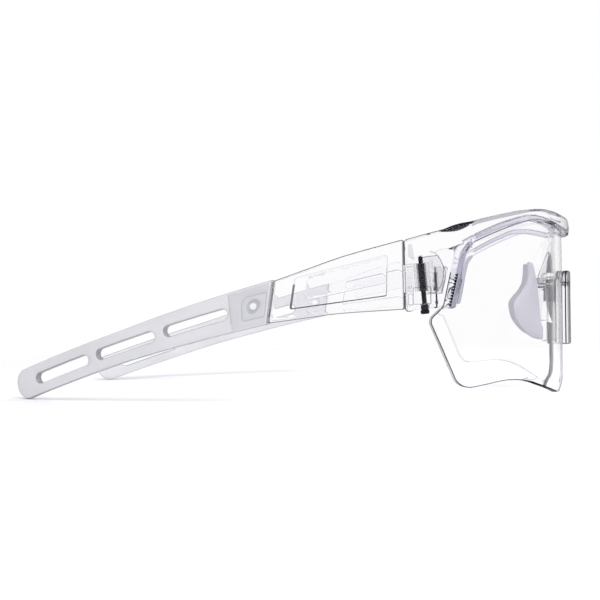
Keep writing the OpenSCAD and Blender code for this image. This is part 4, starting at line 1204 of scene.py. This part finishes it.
# Sock pins
# A small round white nylon pin goes through each sock's front end and the arm's tongue.
# Its flat end shows in the middle of the sock's ring.
pin_nylon = frosted("white_pin_nylon", (0.84, 0.84, 0.86), (0.79, 0.79, 0.82), 0.0, 0.1)
for name, o in nodes.items():
    if name.startswith("sock_pin"):
        o.data.materials.clear()
        o.data.materials.append(pin_nylon)

# Floor
# A round sheet of matt white paper under the glasses, which takes their shadow
# and fades out into the white room. Its sizes are in metres.
FLOOR_RADIUS, FLOOR_DROP = 1.1, 0.0002
FADE_START, FADE_END = 0.12, 0.30
floor_mesh = bpy.data.meshes.new("floor")
floor_ring = circle(0, 0, FLOOR_RADIUS, 64)
floor_mesh.from_pydata([(x, y, -FLOOR_DROP) for x, y in floor_ring], [], [range(len(floor_ring))])
floor = new_object("floor", floor_mesh)
fm, t = bare_material("white_floor")
paint = node(t, "ShaderNodeBsdfDiffuse", {"Color": (0.88, 0.88, 0.90, 1)})
gone = node(t, "ShaderNodeBsdfTransparent")
coords = node(t, "ShaderNodeTexCoord")
length = node(t, "ShaderNodeVectorMath", {0: coords.outputs["Object"]}, operation="LENGTH")
fade = node(t, "ShaderNodeMapRange",
            {"Value": length.outputs["Value"], "From Min": FADE_START, "From Max": FADE_END},
            interpolation_type="SMOOTHSTEP")
mix = node(t, "ShaderNodeMixShader", {0: fade.outputs["Result"], 1: paint.outputs[0], 2: gone.outputs[0]})
node(t, "ShaderNodeOutputMaterial", {"Surface": mix.outputs[0]})
floor_mesh.materials.append(fm)

# Room
# White all round for the camera. Glossy and clear pieces see it white below and dark above,
# which draws the dark lines along their edges.
world = bpy.data.worlds.new("white_room")
bpy.context.scene.world = world
world.use_nodes = True
t = world.node_tree
t.nodes.clear()
seen = node(t, "ShaderNodeBackground", {"Color": (1.0, 1.0, 1.0, 1)})
light = node(t, "ShaderNodeBackground", {"Color": (0.80, 0.80, 0.82, 1)})
coords = node(t, "ShaderNodeTexCoord")
split = node(t, "ShaderNodeSeparateXYZ", {"Vector": coords.outputs["Generated"]})
ramp = node(t, "ShaderNodeValToRGB", {"Fac": split.outputs["Z"]})
for stop, position, tone in zip(ramp.color_ramp.elements, (0.28, 0.48), ((1, 1, 1, 1), (0.05, 0.05, 0.06, 1))):
    stop.position, stop.color = position, tone
mirrored = node(t, "ShaderNodeBackground", {"Color": ramp.outputs["Color"]})
path = node(t, "ShaderNodeLightPath")
either = node(t, "ShaderNodeMath", {0: path.outputs["Is Glossy Ray"], 1: path.outputs["Is Transmission Ray"]},
              operation="MAXIMUM")
lit = node(t, "ShaderNodeMixShader", {0: either.outputs[0], 1: light.outputs[0], 2: mirrored.outputs[0]})
shown = node(t, "ShaderNodeMixShader", {0: path.outputs["Is Camera Ray"], 1: lit.outputs[0], 2: seen.outputs[0]})
node(t, "ShaderNodeOutputWorld", {"Surface": shown.outputs[0]})

# Lamps
# Two soft square lamps above the front of the glasses, both turned to their middle.
# The nearer one is the stronger and gives the short shadows.
LAMP_TARGET = Vector((0, 0, 0.03))
for name, place, size, power in (("key", (-0.35, -0.25, 0.55), 0.30, 2.2), ("fill", (0.3, -0.5, 0.5), 0.4, 1.6)):
    lamp = bpy.data.lights.new(name, "AREA")
    lamp.size = size
    lamp.energy = power
    o = new_object(name, lamp)
    o.location = place
    o.rotation_euler = (LAMP_TARGET - Vector(place)).to_track_quat("-Z", "Y").to_euler()

# Camera
# The pinhole camera that was fitted to the photograph, low down at the wearer's right.
# Its angles are in radians and its place in metres.
FOCAL_LENGTH, PICTURE_WIDTH, SENSOR_WIDTH = 1002.5, 600, 36
CAMERA_PLACE = (-0.34753, -0.05980, 0.03197)
yaw, pitch, roll = 0.174, 0.004, -0.020
look = Vector((math.cos(yaw) * math.cos(pitch), math.sin(yaw) * math.cos(pitch), -math.sin(pitch)))
flat_right = Vector((math.sin(yaw), -math.cos(yaw), 0))
flat_up = flat_right.cross(look)
right = flat_right * math.cos(roll) + flat_up * math.sin(roll)
up = flat_up * math.cos(roll) - flat_right * math.sin(roll)
camera = bpy.data.cameras.new("camera")
camera.sensor_width = SENSOR_WIDTH
camera.sensor_fit = "HORIZONTAL"
camera.lens = SENSOR_WIDTH * FOCAL_LENGTH / PICTURE_WIDTH
camera.clip_start = 0.01
eye = new_object("camera", camera)
stand = Matrix((right, up, -look)).transposed().to_4x4()
stand.translation = CAMERA_PLACE
eye.matrix_world = stand
bpy.context.scene.camera = eye
bpy.context.scene.view_settings.view_transform = "Standard"
